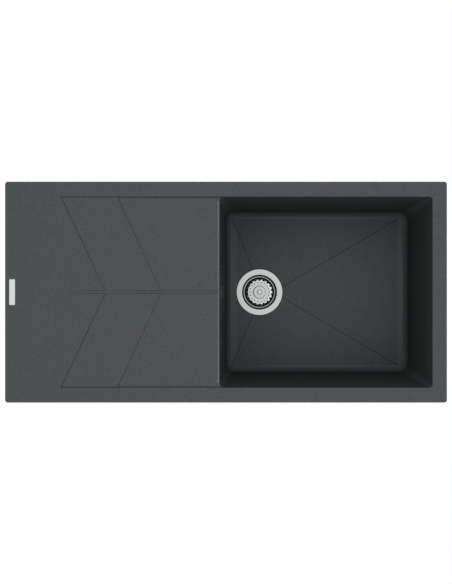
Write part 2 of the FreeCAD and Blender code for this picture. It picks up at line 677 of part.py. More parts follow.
def lip_section(body, name, y, radius):
    """The sliver to take off the lip at one place, bounded by the rounding's arc."""
    reach = bowl_left - size.step_two_apex
    facet_depth = size.step_two_level + tangent(size.drain_slope) * reach + tangent(size.facet_two_tilt) * y
    lean = size.bowl_left_draft / size.bowl_depth
    corner_x = bowl_left + lean * facet_depth
    corner_z = deck_top - facet_depth
    bite, spare = as_size(0.04), 2
    sag = 1 - math.sqrt(0.5)
    start = (corner_x - radius, corner_z + bite)
    end = (corner_x + lean * radius + bite, corner_z - radius)
    section = new_sketch(body, name, "XZ_Plane", (0, 0, -y))
    outline = (end, (end[0] + spare, end[1]), (end[0] + spare, start[1] + spare),
               (start[0], start[1] + spare), start)
    flat = [Vector(as_size(x).number, as_size(z).number, 0) for x, z in outline]
    lines = [section.addGeometry(Part.LineSegment(a, b)) for a, b in zip(flat, flat[1:])]
    for first, second in zip(lines, lines[1:]):
        section.addConstraint(Sketcher.Constraint("Coincident", first, 2, second, 1))
    for line, (x, z) in zip(lines, outline):
        place_point(section, line, 1, x, z)
    place_point(section, lines[-1], 2, *start)
    bulge = Vector(flat[0].x - radius.number * sag, flat[-1].y - radius.number * sag, 0)
    arc = section.addGeometry(Part.Arc(flat[0], bulge, flat[-1]))
    section.addConstraint(Sketcher.Constraint("Coincident", arc, 1, lines[0], 1))
    section.addConstraint(Sketcher.Constraint("Coincident", arc, 2, lines[-1], 2))
    dimension(section, "Radius", radius * 1.06, arc)
    return section


def rounded_lip(body):
    """Round the edge that the drainboard's facets make with the bowl's left wall."""
    corner = bowl_side - size.bowl_top_corner
    middle = lip_section(body, "LipMiddle", as_size(0), size.lip_radius)
    full = lip_section(body, "LipFull", corner - size.lip_runout, size.lip_radius)
    last = lip_section(body, "LipEnd", corner - size.lip_margin, size.lip_radius / 6)
    straight = loft(body, "Lip", middle, full, cuts=True)
    runout = loft(body, "LipRunout", full, last, cuts=True)
    mirror_rear_to_front(body, "LipFront", [straight, runout])


def fixings(body):
    """The badge plate's pocket, the sealing strip's groove and the clamps' blind holes."""
    badge = new_sketch(body, "BadgePocketOutline", "XY_Plane", (0, 0, deck_top))
    badge_outline(badge)
    pocket(body, "BadgePocket", badge, size.badge_recess)
    groove = new_sketch(body, "StripGrooveOutline", "XY_Plane")
    strip_outline(groove)
    pocket(body, "StripGroove", groove, size.strip_thickness, up=True)
    holes = new_sketch(body, "DowelHoleCircles", "XY_Plane", (0, 0, skirt_foot))
    clamp_circles(holes, size.dowel_radius)
    pocket(body, "DowelHoles", holes, size.dowel_length, up=True)


def badge_outline(sketch):
    """The badge plate's outline, shared with its pocket."""
    left = size.badge_inset - half_length
    half = size.badge_length / 2
    draw_rounded_rectangle(sketch, left, left + size.badge_width, -half, half, size.badge_corner)


def strip_outline(sketch):
    """The sealing strip's ring, shared with its groove."""
    for inset in (size.strip_inset, size.strip_inset + size.strip_width):
        draw_rounded_rectangle(
            sketch, inset - half_length, half_length - inset, inset - half_width, half_width - inset,
            size.sink_corner_radius - 1)


def clamp_circles(sketch, radius):
    """A circle at every clamp."""
    for x in clamp_xs:
        draw_circle(sketch, x, clamp_y, radius)
        draw_circle(sketch, x, -clamp_y, radius)


def sink_body():
    """The casting: deck, skirt, bowl, drainboard and everything cut in it."""
    body = new_body("sink_body")
    rim_sheet_and_skirt(body)
    bowl_shell(body)
    deck_underside(body)
    overflow_boss(body)
    bowl_cavity(body)
    drain_seat(body)
    overflow_hole(body)
    drainboard(body)
    rounded_lip(body)
    fixings(body)
    return body


def badge_plate():
    """The bare metal plate let into the deck's left end."""
    body = new_body("badge_plate")
    outline = new_sketch(body, "BadgeOutline", "XY_Plane", (0, 0, deck_top - size.badge_recess))
    badge_outline(outline)
    pad(body, "BadgeSheet", outline, size.badge_thickness)
    return body


def rim_seal_strip():
    """The sealing strip between rim and worktop."""
    body = new_body("rim_seal_strip")
    outline = new_sketch(body, "StripOutline", "XY_Plane")
    strip_outline(outline)
    pad(body, "Strip", outline, size.strip_thickness)
    return body


# ---------------------------------------------------------------- clamps
def hexagon(sketch, x, y, corner_radius):
    """A regular hexagon with two corners on the sketch's horizontal through its centre."""
    rise = corner_radius * math.sqrt(0.75)
    half = corner_radius / 2
    draw_polygon(sketch, ((x + corner_radius, y), (x + half, y + rise), (x - half, y + rise),
                          (x - corner_radius, y), (x - half, y - rise), (x + half, y - rise)))


def clamp_dowels():
    """Plastic dowels in the clamp bosses, one solid each."""
    body = new_body("clamp_dowels")
    body.AllowCompound = True
    rings = new_sketch(body, "DowelRings", "XY_Plane", (0, 0, skirt_foot))
    clamp_circles(rings, size.dowel_radius)
    clamp_circles(rings, size.screw_radius + size.screw_clearance)
    pad(body, "Dowels", rings, size.dowel_length)
    return body


def clamp_screw(label, x, y):
    """A hexagon-head screw that hangs from its dowel and carries the clamp arm."""
    body = new_body(label, (x, y, screw_foot))
    shank = new_sketch(body, "ShankCircle", "XY_Plane")
    draw_circle(shank, 0, 0, size.screw_radius)
    top = skirt_foot + size.dowel_length - size.clamp_travel - size.dowel_spare
    pad(body, "Shank", shank, top - screw_foot)
    head = new_sketch(body, "HeadHexagon", "XY_Plane")
    hexagon(head, as_size(0), as_size(0), size.screw_head_radius)
    pad(body, "Head", head, size.screw_head_height)
    return body


def clamp_washer(label, x, y):
    """The washer between a screw's head and its arm."""
    return ring(label, size.screw_radius, size.washer_radius, 0, size.washer_thickness,
                (x, y, washer_foot))


def clamp_arm(label, x, y):
    """One pressed arm, parked along the skirt, that swings out under the worktop."""
    body = new_body(label, (x, y, arm_foot), (180, 0, 0))
    profile = new_sketch(body, "ArmProfile", "XZ_Plane")
    steel = size.arm_thickness
    heel, bend, tip, rise = -size.arm_heel, size.arm_bend, size.arm_length, size.arm_rise
    draw_polygon(profile, ((heel, 0), (bend, 0), (bend + rise, rise - steel), (tip, rise - steel),
                           (tip, rise + size.tooth_height), (tip - steel, rise + size.tooth_height),
                           (tip - steel, rise), (bend + rise - steel / 2, rise),
                           (bend - steel / 2, steel), (heel, steel)))
    pad(body, "ArmPlate", profile, size.arm_width, both=True)
    back = heel.number
    fillet(body, "ArmHeel", size.arm_width / 2 - 0.1,
           lambda edge: edge.BoundBox.XMax < back + 0.01 and edge.BoundBox.ZLength > steel.number / 2)
    hole = new_sketch(body, "ArmHole", "XY_Plane")
    draw_circle(hole, 0, 0, size.screw_radius + size.screw_clearance)
    pocket(body, "ArmHoleCut", hole, steel, up=True)
    return body


# ---------------------------------------------------------------- waste
def draw_sheet(sketch, path, thickness):
    """A bent sheet's section: each stop is x, z and how far its back lies, in sheets, across and down."""
    back = [(x + across * thickness, z - down * thickness) for x, z, across, down in reversed(path)]
    draw_polygon(sketch, [(x, z) for x, z, _, _ in path] + back)


def strainer_flange():
    """The stainless flange drawn down into a dish with a ledge, drain ports and a screw hub."""
    body = new_body("strainer_flange", (drain_x, 0, 0))
    section = new_sketch(body, "DishSection", "XZ_Plane")
    mouth, well, hub = size.dish_mouth_radius, size.dish_well_radius, size.hub_radius
    ledge = flange_top - size.dish_ledge_depth
    bend = 1.2
    draw_sheet(section, (
        (size.flange_radius, flange_top - 0.3, 0, 0.7),
        (size.flange_radius - 0.5, flange_top, 0, 1),
        (mouth + bend, flange_top, 0.4, 1),
        (mouth, flange_top - bend, 1, 0.4),
        (size.dish_ledge_outer, ledge, 1, 1),
        (size.dish_ledge_inner, ledge - 0.4, 0.6, 1),
        (well, ledge - 1.6, 1, 0.6),
        (well, dish_bottom + bend, 1, 0.4),
        (well - bend, dish_bottom, 0.4, 1),
        (hub + bend, dish_bottom, 0.4, 1),
        (hub, dish_bottom - bend, 1, 0.6),
        (hub, hub_bottom, 1, 1),
        (size.centre_screw_radius, hub_bottom, 0, 1)), size.sheet)
    revolve(body, "Dish", section)
    port = new_sketch(body, "PortCircle", "XY_Plane", (0, 0, dish_bottom - 2 * size.sheet))
    draw_circle(port, size.drain_port_circle, 0, size.drain_port_radius)
    cut = pocket(body, "Port", port, 3 * size.sheet, up=True)
    repeat_round(body, "Ports", [cut], size.drain_port_count)
    return body


def flange_seal():
    """The rubber ring that the flange beds on."""
    inner, outer = size.drain_hole_radius + size.seal_margin, size.flange_radius - size.seal_margin
    return ring("flange_seal", inner, outer, flange_seat, size.flange_seal_thickness, (drain_x, 0, 0))


def waste_gasket():
    """The gasket between the waste body and the underside of the bowl."""
    inner, outer = size.drain_hole_radius + size.seal_margin, size.waste_flange_radius - size.seal_margin
    return ring("waste_gasket", inner, outer, waste_top, size.gasket_thickness, (drain_x, 0, 0))


def waste_body():
    """The plastic body under the bowl: flange, overflow inlet and outlet."""
    body = new_body("waste_body", (drain_x, 0, 0))
    bore, outer, wall = size.waste_bore_radius, waste_outer, size.waste_wall
    outside = new_sketch(body, "WasteOutside", "XZ_Plane")
    draw_polygon(outside, ((0, waste_top), (size.waste_flange_radius, waste_top),
                           (size.waste_flange_radius, waste_top - size.waste_flange_thickness),
                           (outer, waste_top - size.waste_flange_thickness), (outer, waste_foot),
                           (size.outlet_radius, outlet_top), (size.outlet_radius, outlet_foot),
                           (0, outlet_foot)))
    revolve(body, "WasteSolid", outside)
    inlet = new_sketch(body, "InletOutside", "YZ_Plane", (0, 0, inlet_end - drain_x))
    draw_circle(inlet, 0, inlet_axis, spigot_outer)
    pad(body, "Inlet", inlet, size.inlet_length + wall)
    inside = new_sketch(body, "WasteInside", "XZ_Plane")
    bore_foot = size.outlet_radius - wall
    draw_polygon(inside, ((0, waste_top), (bore, waste_top), (bore, waste_foot), (bore_foot, outlet_top),
                          (bore_foot, outlet_foot), (0, outlet_foot)))
    revolve(body, "WasteBore", inside, cuts=True)
    socket = new_sketch(body, "InletSocket", "YZ_Plane", (0, 0, inlet_end - drain_x))
    draw_circle(socket, 0, inlet_axis, size.pipe_radius + size.pipe_fit)
    pocket(body, "InletSocketCut", socket, size.pipe_insert, up=True)
    passage = new_sketch(body, "InletPassage", "YZ_Plane", (0, 0, inlet_end - drain_x))
    draw_circle(passage, 0, inlet_axis, size.pipe_radius - size.pipe_wall)
    pocket(body, "InletPassageCut", passage, size.inlet_length + 2 * wall, up=True)
    return body


def waste_spider():
    """The three-armed cross that the centre screw pulls on; its arms bear on the waste body's cone."""
    body = new_body("waste_spider", (drain_x, 0, 0))
    hub = new_sketch(body, "HubCircle", "XY_Plane", (0, 0, spider_top))
    draw_circle(hub, 0, 0, size.spider_radius)
    pad(body, "Hub", hub, size.spider_height, down=True)
    foot = spider_top - size.spider_height
    reach = size.waste_bore_radius - size.spider_fit
    narrowing = (size.waste_bore_radius - size.outlet_radius + size.waste_wall) / size.cone_height
    foot_reach = reach - (waste_foot - foot) * narrowing
    arm = new_sketch(body, "SpiderArm", "XZ_Plane")
    draw_polygon(arm, ((0, foot), (foot_reach, foot), (reach, waste_foot), (reach, spider_top),
                       (0, spider_top)))
    first = pad(body, "Arm", arm, size.waste_wall, both=True)
    repeat_round(body, "Arms", [first], size.spider_arm_count)
    hole = new_sketch(body, "InsertHole", "XY_Plane", (0, 0, spider_top))
    draw_circle(hole, 0, 0, size.insert_radius)
    pocket(body, "InsertHoleCut", hole, size.spider_height)
    return body


def waste_insert():
    """The brass insert in the spider's hub."""
    return ring("waste_insert", size.centre_screw_radius, size.insert_radius,
                spider_top - size.spider_height, size.spider_height, (drain_x, 0, 0))


def waste_screw():
    """The centre screw: its hollow head is the socket for the basket's stem."""
    body = new_body("waste_screw", (drain_x, 0, 0))
    section = new_sketch(body, "ScrewSection", "XZ_Plane")
    head, shank = size.centre_head_radius, size.centre_screw_radius
    head_top = hub_bottom + size.centre_head_height
    socket = size.stem_radius + size.stem_clearance
    draw_polygon(section, ((0, hub_bottom + 1), (socket, hub_bottom + 1), (socket, head_top),
                           (head - 0.6, head_top), (head, head_top - 0.6), (head, hub_bottom),
                           (shank, hub_bottom), (shank, spider_top - size.spider_height),
                           (0, spider_top - size.spider_height)))
    revolve(body, "CentreScrew", section)
    return body


# ---------------------------------------------------------------- basket
def basket_lid():
    """The lid: a flat disc whose bent edge is cut into teeth, with a ring of small holes."""
    body = new_body("basket_lid", (drain_x, 0, 0))
    section = new_sketch(body, "LidSection", "XZ_Plane")
    draw_sheet(section, (
        (size.stem_radius, lid_top, 0, 1),
        (size.lid_flat_radius, lid_top, -0.4, 1),
        (size.lid_radius, lid_top - size.tooth_drop, -0.4, 1)), size.sheet)
    revolve(body, "LidDisc", section)
    half = size.tooth_gap / 2
    deep = size.tooth_drop + 2 * size.sheet
    half_step = 180 / size.tooth_count
    gap = new_sketch(body, "GapOutline", "XY_Plane", (0, 0, lid_top), (half_step, 0, 0))
    draw_polygon(gap, ((size.lid_flat_radius + half, -half), (size.lid_radius + half, -half),
                       (size.lid_radius + half, half), (size.lid_flat_radius + half, half)))
    straight = pocket(body, "Gap", gap, deep)
    root = new_sketch(body, "GapRoot", "XY_Plane", (0, 0, lid_top), (half_step, 0, 0))
    draw_circle(root, size.lid_flat_radius + half, 0, half)
    rounded = pocket(body, "GapRootCut", root, deep)
    hole = new_sketch(body, "LidHole", "XY_Plane", (0, 0, lid_top))
    draw_circle(hole, size.lid_hole_circle, 0, size.lid_hole_radius)
    drilled = pocket(body, "LidHoleCut", hole, deep)
    repeat_round(body, "Teeth", [straight, rounded, drilled], size.tooth_count)
    return body


def basket_body():
    """The slotted cup under the lid."""
    body = new_body("basket_body", (drain_x, 0, 0))
    section = new_sketch(body, "CupSection", "XZ_Plane")
    draw_sheet(section, (
        (size.basket_top_radius - size.basket_sheet, lid_underside, 1, 0),
        (size.basket_base_radius - size.basket_sheet, cup_foot + 2, 1, 0),
        (size.basket_base_radius - 2 * size.basket_sheet, cup_foot + size.basket_sheet, 0.5, 1),
        (size.stem_radius, cup_foot + size.basket_sheet, 0, 1)), size.basket_sheet)
    revolve(body, "Cup", section)
    middle = (lid_underside + cup_foot) / 2
    high, wide = size.slot_height / 2, size.slot_width / 2
    slot = new_sketch(body, "SlotOutline", "YZ_Plane")
    draw_polygon(slot, ((-wide, middle - high), (wide, middle - high), (wide, middle + high),
                        (-wide, middle + high)))
    cut = pocket(body, "Slot", slot, size.basket_top_radius + 1, up=True)
    repeat_round(body, "Slots", [cut], size.slot_count)
    return body


def basket_knob():
    """The mushroom-shaped pull knob."""
    body = new_body("basket_knob", (drain_x, 0, 0))
    section = new_sketch(body, "KnobSection", "XZ_Plane")
    rim, neck, top = size.knob_radius, size.knob_neck_radius, lid_top + size.knob_height
    cap, stem = size.cap_radius, size.stem_radius
    cap_foot, stem_top = top - size.cap_depth, top - size.stem_cover
    draw_polygon(section, ((stem, lid_top), (neck + 1.5, lid_top), (neck + 1.2, lid_top + 0.8),
                           (neck, lid_top + 2), (neck + 0.4, top - 4.2), (rim - 0.8, top - 2.4),
                           (rim, top - 1.6), (rim, top - 0.9), (rim - 0.9, top), (cap, top - 0.3),
                           (cap, cap_foot), (0, cap_foot), (0, stem_top), (stem, stem_top)))
    revolve(body, "Knob", section)
    return body


def basket_knob_cap():
    """The cap that closes the knob's centre."""
    body = new_body("basket_knob_cap", (drain_x, 0, 0))
    section = new_sketch(body, "CapSection", "XZ_Plane")
    top = lid_top + size.knob_height
    radius, foot, crown = size.cap_radius, top - size.cap_depth, top + size.cap_rise
    draw_polygon(section, ((0, foot), (radius, foot), (radius, top), (radius - 0.8, crown), (0, crown)))
    revolve(body, "Cap", section)
    return body


def basket_seal():
    """The rubber disc that closes the drain ports when the basket is pushed home."""
    body = new_body("basket_seal", (drain_x, 0, 0))
    section = new_sketch(body, "SealSection", "XZ_Plane")
    rim = size.seal_radius
    draw_polygon(section, ((size.stem_radius, seal_foot), (rim - 0.5, seal_foot), (rim, seal_foot + 0.5),
                           (rim, cup_foot - 0.5), (rim - 0.5, cup_foot), (size.stem_radius, cup_foot)))
    revolve(body, "SealDisc", section)
    return body


def basket_stem():
    """The stem through the basket, with the ball that snaps into the centre screw's head."""
    body = new_body("basket_stem", (drain_x, 0, 0))
    section = new_sketch(body, "StemSection", "XZ_Plane")
    rod, ball = size.stem_radius, size.stem_radius + size.stem_clearance / 2
    tip = seal_foot - size.stem_tip
    top = lid_top + size.knob_height - size.stem_cover
    draw_polygon(section, ((0, tip), (rod - 1, tip), (ball, tip + 1.5), (ball, tip + 2.5),
                           (rod - 0.8, tip + 4), (rod - 0.8, tip + 5), (rod, tip + 6), (rod, top), (0, top)))
    revolve(body, "Stem", section)
    return body


def basket_nuts():
    """The nuts that hold lid and cup on the stem."""
    body = new_body("basket_nuts", (drain_x, 0, 0))
    body.AllowCompound = True
    for name, foot in (("Lower", cup_foot + size.basket_sheet), ("Upper", lid_underside - size.nut_height)):
        outline = new_sketch(body, name + "NutOutline", "XY_Plane", (0, 0, foot))
        hexagon(outline, as_size(0), as_size(0), size.nut_radius)
        draw_circle(outline, 0, 0, size.stem_radius)
        pad(body, name + "Nut", outline, size.nut_height)
    return body


# ---------------------------------------------------------------- overflow
def overflow_grille():
    """The flush grille in the bowl's left wall."""
    body = new_body("overflow_grille", (grille_seat, 0, size.overflow_level))
    disc = new_sketch(body, "GrilleDisc", "YZ_Plane")
    draw_circle(disc, 0, 0, size.grille_radius)
    draw_circle(disc, 0, 0, size.overflow_screw_radius)
    pad(body, "Grille", disc, size.grille_thickness)
    slots = new_sketch(body, "GrilleSlots", "YZ_Plane")
    wide = size.grille_slot
    tall = size.overflow_hole_radius - wide
    for step in (-1.75, -0.75, 0.75, 1.75):
        left = wide * step * 2 - wide / 2
        height = tall * (1 - abs(step) / 4)
        draw_polygon(slots, ((left, -height), (left + wide, -height), (left + wide, height), (left, height)))
    pocket(body, "GrilleSlotCuts", slots, size.grille_thickness, up=True)
    return body


def overflow_screw():
    """The screw that draws the housing against the wall through the grille."""
    body = new_body("overflow_screw", (grille_seat + size.grille_thickness, 0, size.overflow_level))
    head = new_sketch(body, "HeadCircle", "YZ_Plane")
    draw_circle(head, 0, 0, size.overflow_head_radius)
    pad(body, "Head", head, size.overflow_head_height)
    shank = new_sketch(body, "ShankCircle", "YZ_Plane")
    draw_circle(shank, 0, 0, size.overflow_screw_radius)
    pad(body, "Shank", shank, grille_seat + size.grille_thickness - screw_end, down=True)
    return body


def overflow_gasket():
    """The gasket between the wall's boss and the housing."""
    body = new_body("overflow_gasket", (boss_face, 0, size.overflow_level))
    outline = new_sketch(body, "GasketRing", "YZ_Plane")
    draw_circle(outline, 0, 0, size.elbow_flange_radius)
    draw_circle(outline, 0, 0, size.overflow_hole_radius)
    pad(body, "Gasket", outline, size.overflow_gasket_thickness, down=True)
    return body


def overflow_elbow():
    """The housing behind the wall, with the spigot that the pipe drops from."""
    body = new_body("overflow_elbow")
    front = elbow_back + size.elbow_depth
    level = size.overflow_level
    housing = new_sketch(body, "HousingCircle", "YZ_Plane", (0, 0, elbow_back))
    draw_circle(housing, 0, level, elbow_outer)
    pad(body, "Housing", housing, size.elbow_depth)
    flange = new_sketch(body, "ElbowFlange", "YZ_Plane", (0, 0, front - size.elbow_flange_thickness))
    draw_circle(flange, 0, level, size.elbow_flange_radius)
    pad(body, "ElbowFlangePad", flange, size.elbow_flange_thickness)
    spigot = new_sketch(body, "SpigotCircle", "XY_Plane", (0, 0, spigot_foot))
    draw_circle(spigot, pipe_x, 0, spigot_outer)
    pad(body, "Spigot", spigot, level - spigot_foot)
    hollow = new_sketch(body, "HousingHollow", "YZ_Plane", (0, 0, elbow_back + size.elbow_wall))
    draw_circle(hollow, 0, level, size.overflow_hole_radius)
    pocket(body, "HousingHollowCut", hollow, size.elbow_depth, up=True)
    socket = new_sketch(body, "SpigotSocket", "XY_Plane", (0, 0, spigot_foot))
    draw_circle(socket, pipe_x, 0, size.pipe_radius + size.pipe_fit)
    pocket(body, "SpigotSocketCut", socket, size.pipe_insert, up=True)
    passage = new_sketch(body, "SpigotPassage", "XY_Plane", (0, 0, spigot_foot))
    draw_circle(passage, pipe_x, 0, size.pipe_radius - size.pipe_wall)
    pocket(body, "SpigotPassageCut", passage, level - spigot_foot - 1, up=True)
    pillar = new_sketch(body, "PillarCircle", "YZ_Plane", (0, 0, elbow_back))
    draw_circle(pillar, 0, level, 2 * size.overflow_screw_radius)
    pad(body, "Pillar", pillar, size.overflow_pillar)
    bore = new_sketch(body, "PillarBore", "YZ_Plane", (0, 0, screw_end))
    draw_circle(bore, 0, level, size.overflow_screw_radius)
    pocket(body, "PillarBoreCut", bore, size.overflow_pillar, up=True)
    return body


def overflow_pipe():
    """The moulded tube from the housing down and across to the waste body."""
    body = new_body("overflow_pipe")
    top = spigot_foot + size.pipe_insert
    end_x = inlet_end + size.pipe_insert
    bend = size.pipe_bend
    path = new_sketch(body, "PipePath", "XZ_Plane")
    down = path.addGeometry(Part.LineSegment(
        Vector(pipe_x.number, top.number, 0), Vector(pipe_x.number, (inlet_axis + bend).number, 0)))
    centre = Vector((pipe_x + bend).number, (inlet_axis + bend).number, 0)
    circle = Part.Circle(centre, Vector(0, 0, 1), bend.number)
    turn = path.addGeometry(Part.ArcOfCircle(circle, math.pi, 1.5 * math.pi))
    along = path.addGeometry(Part.LineSegment(
        Vector((pipe_x + bend).number, inlet_axis.number, 0), Vector(end_x.number, inlet_axis.number, 0)))
    path.addConstraint(Sketcher.Constraint("Tangent", down, 2, turn, 1))
    path.addConstraint(Sketcher.Constraint("Tangent", turn, 2, along, 1))
    path.addConstraint(Sketcher.Constraint("Vertical", down))
    path.addConstraint(Sketcher.Constraint("Horizontal", along))
    dimension(path, "Radius", bend, turn)
    place_point(path, down, 1, pipe_x, top)
    place_point(path, along, 2, end_x, inlet_axis)
    section = new_sketch(body, "PipeSection", "XY_Plane", (0, 0, top))
    draw_circle(section, pipe_x, 0, size.pipe_radius)
    draw_circle(section, pipe_x, 0, size.pipe_radius - size.pipe_wall)
    pipe = body.newObject("PartDesign::AdditivePipe", "Pipe")
    adding.append(pipe)
    pipe.Profile = section
    pipe.Spine = path
    return body


def slip_nut(label, position, turn):
    """A slip nut over the end of a socket; its own +Z runs along the socket away from the end."""
    body = new_body(label, position, turn)
    body_foot = -size.cone_seal_height - size.elbow_wall
    outside = new_sketch(body, "NutHexagon", "XY_Plane", (0, 0, body_foot))
    hexagon(outside, as_size(0), as_size(0), size.slip_nut_radius)
    pad(body, "NutSolid", outside, size.slip_nut_grip - body_foot)
    bore = new_sketch(body, "NutBore", "XY_Plane", (0, 0, -size.cone_seal_height))
    draw_circle(bore, 0, 0, spigot_outer)
    pocket(body, "NutBoreCut", bore, size.slip_nut_grip + size.cone_seal_height, up=True)
    neck = new_sketch(body, "NutNeck", "XY_Plane", (0, 0, body_foot))
    draw_circle(neck, 0, 0, size.pipe_radius + size.pipe_fit)
    pocket(body, "NutNeckCut", neck, size.elbow_wall, up=True)
    return body


def cone_seal(label, position, turn):
    """The rubber ring that a slip nut squeezes round the pipe."""
    body = new_body(label, position, turn)
    section = new_sketch(body, "ConeSection", "XZ_Plane")
    foot = -size.cone_seal_height
    draw_polygon(section, ((size.pipe_radius, foot), (spigot_outer, foot), (spigot_outer, foot / 2),
                           (size.pipe_radius + size.pipe_fit + 0.8, 0), (size.pipe_radius, 0)))
    revolve(body, "Cone", section)
    return body


# ---------------------------------------------------------------- build, check and write
def build_parts():
    """Every sub-part, in the order a fitter would lay them out."""
    parts = [sink_body(), badge_plate(), rim_seal_strip(), clamp_dowels()]
    for number, x in enumerate(clamp_xs, start=1):
        for side, y in (("rear", clamp_y), ("front", -clamp_y)):
            place = "%s_%d" % (side, number)
            parts += [clamp_screw("clamp_screw_" + place, x, y), clamp_washer("clamp_washer_" + place, x, y),
                      clamp_arm("clamp_arm_" + place, x, y)]
    parts += [strainer_flange(), flange_seal(), waste_gasket(), waste_body(), waste_spider(), waste_insert(),
              waste_screw()]
    parts += [basket_lid(), basket_body(), basket_knob(), basket_knob_cap(), basket_seal(), basket_stem(),
              basket_nuts()]
    parts += [overflow_grille(), overflow_screw(), overflow_gasket(), overflow_elbow(), overflow_pipe()]
    upper, lower = (pipe_x, 0, spigot_foot), (inlet_end, 0, inlet_axis)
    for place, end, turn in (("upper", upper, (0, 0, 0)), ("lower", lower, (0, 90, 0))):
        parts += [slip_nut("overflow_%s_nut" % place, end, turn),
                  cone_seal("overflow_%s_seal" % place, end, turn)]
    return parts


def check_parts(parts):
    """Stop if anything failed to build or a cut or an addition missed."""
    for item in doc.Objects:
        if "Invalid" in item.State or "Error" in item.State:
            raise RuntimeError("failed: " + item.Name)
    for feature, cuts in [(f, True) for f in cutting] + [(f, False) for f in adding]:
        before = feature.BaseFeature.Shape.Volume if feature.BaseFeature else 0.0
        change = feature.Shape.Volume - before
        if (change < 0) != cuts or abs(change) < 0.01:
            raise RuntimeError("missed: " + feature.Name)
    for part in parts:
        if part.Shape.isNull() or not part.Shape.isValid() or part.Shape.Volume <= 0:
            raise RuntimeError("bad shape: " + part.Label)


parts = build_parts()
doc.recompute()
check_parts(parts)
os.makedirs("parts", exist_ok=True)
for part in parts:
    part.Shape.exportStep("parts/%s.step" % part.Label)
    print("%-22s %2d solid(s) %12.1f mm3" % (part.Label, len(part.Shape.Solids), part.Shape.Volume))
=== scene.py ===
# %% [markdown]
# # An inset kitchen sink, dressed for its picture
#
# The sink is one casting of crushed quartz bound with acrylic resin: a bowl on the right, a
# drainboard with sunk chevrons on the left, and a rim that lies on the worktop. A stainless
# basket strainer sits in the bowl's floor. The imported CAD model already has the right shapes
# and sizes, so this lesson is mostly about finishes, and about four small parts whose edges
# are so fine that they are worth modelling again.
#
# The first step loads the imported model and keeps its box, because nothing that is added may
# reach outside it.

# %% Load the frame
import json
import math

import bmesh
import bpy
from mathutils import Matrix, Vector


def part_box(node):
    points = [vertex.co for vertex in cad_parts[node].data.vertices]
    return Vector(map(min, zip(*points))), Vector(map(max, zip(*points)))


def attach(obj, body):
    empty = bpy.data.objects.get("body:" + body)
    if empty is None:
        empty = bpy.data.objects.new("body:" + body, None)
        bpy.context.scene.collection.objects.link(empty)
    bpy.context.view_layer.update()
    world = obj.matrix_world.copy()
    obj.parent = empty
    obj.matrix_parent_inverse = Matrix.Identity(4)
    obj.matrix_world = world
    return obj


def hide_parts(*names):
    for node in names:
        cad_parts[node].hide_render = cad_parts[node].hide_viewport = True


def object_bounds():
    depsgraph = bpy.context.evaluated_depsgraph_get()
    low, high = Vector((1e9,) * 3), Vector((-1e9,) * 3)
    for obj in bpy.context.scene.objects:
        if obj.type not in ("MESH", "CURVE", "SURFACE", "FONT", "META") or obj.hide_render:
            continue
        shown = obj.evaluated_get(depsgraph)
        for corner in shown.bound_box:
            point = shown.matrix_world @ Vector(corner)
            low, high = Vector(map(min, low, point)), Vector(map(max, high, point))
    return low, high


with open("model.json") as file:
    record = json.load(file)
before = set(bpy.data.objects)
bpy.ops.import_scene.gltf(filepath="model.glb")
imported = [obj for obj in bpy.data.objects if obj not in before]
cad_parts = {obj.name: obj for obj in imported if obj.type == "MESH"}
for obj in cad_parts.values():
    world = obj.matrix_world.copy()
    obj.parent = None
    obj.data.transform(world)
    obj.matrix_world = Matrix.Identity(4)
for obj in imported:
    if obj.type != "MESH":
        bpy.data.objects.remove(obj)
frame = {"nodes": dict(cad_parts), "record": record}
cad_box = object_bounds()
nodes = frame["nodes"]
print(len(nodes), "nodes")
print("CAD box, mm:", [[round(1000 * value, 1) for value in corner] for corner in cad_box])

MM = 0.001

# %% [markdown]
# ## The camera
#
# The photograph looks straight down on the sink, with the bowl to the right. The bowl's floor
# is further from the lens than the deck, so it is drawn smaller, and how much smaller gives
# the camera's height. The rest is a matter of the lens: a 36 mm wide sensor stands for the
# picture's longer side, and the focal length makes the metre of sink as wide as it is there.

# %% Camera
PICTURE = (452, 584)
DECK_TOP = 9 * MM
CAMERA_HEIGHT = 1.96
METRES_PER_PIXEL = 2.2607 * MM
CAMERA_SHIFT = 0.34 * MM
SENSOR = 36.0

camera_data = bpy.data.cameras.new("camera")
camera_data.sensor_width = SENSOR
camera_data.lens = SENSOR * CAMERA_HEIGHT / (max(PICTURE) * METRES_PER_PIXEL)
camera = bpy.data.objects.new("camera", camera_data)
camera.location = (0, CAMERA_SHIFT, DECK_TOP + CAMERA_HEIGHT)
bpy.context.scene.collection.objects.link(camera)
bpy.context.scene.camera = camera
print("lens, mm:", round(camera_data.lens, 2))

# %% [markdown]
# ## Colours and nodes
#
# Every finish here is made of shader nodes, so a few small helpers come first. Colours are
# written as the sRGB hex values that a painting program shows, but Blender's sockets want
# linear light, so one function converts them. Another adds a node of any kind, makes its
# settings and fills its sockets with values or links. Written out, each node would take five
# lines, and the recipe would be lost among them.

# %% Colour and node helpers
def linear(hex_colour):
    """An sRGB hex colour as the linear red, green, blue and alpha that Blender's sockets take."""
    values = [int(hex_colour[i:i + 2], 16) / 255 for i in (1, 3, 5)]
    return [v / 12.92 if v <= 0.04045 else ((v + 0.055) / 1.055) ** 2.4 for v in values] + [1.0]


def grey(strength):
    """A grey of that linear strength, as a colour."""
    return [strength] * 3 + [1.0]


def socket(sockets, name):
    """The socket at that place in the list, of that identifier, or else of that name."""
    if isinstance(name, int):
        return sockets[name]
    found = [s for s in sockets if s.identifier == name] or [s for s in sockets if s.name == name]
    return found[0]


def out(node, name):
    """The node's output of that identifier or name."""
    return socket(node.outputs, name)


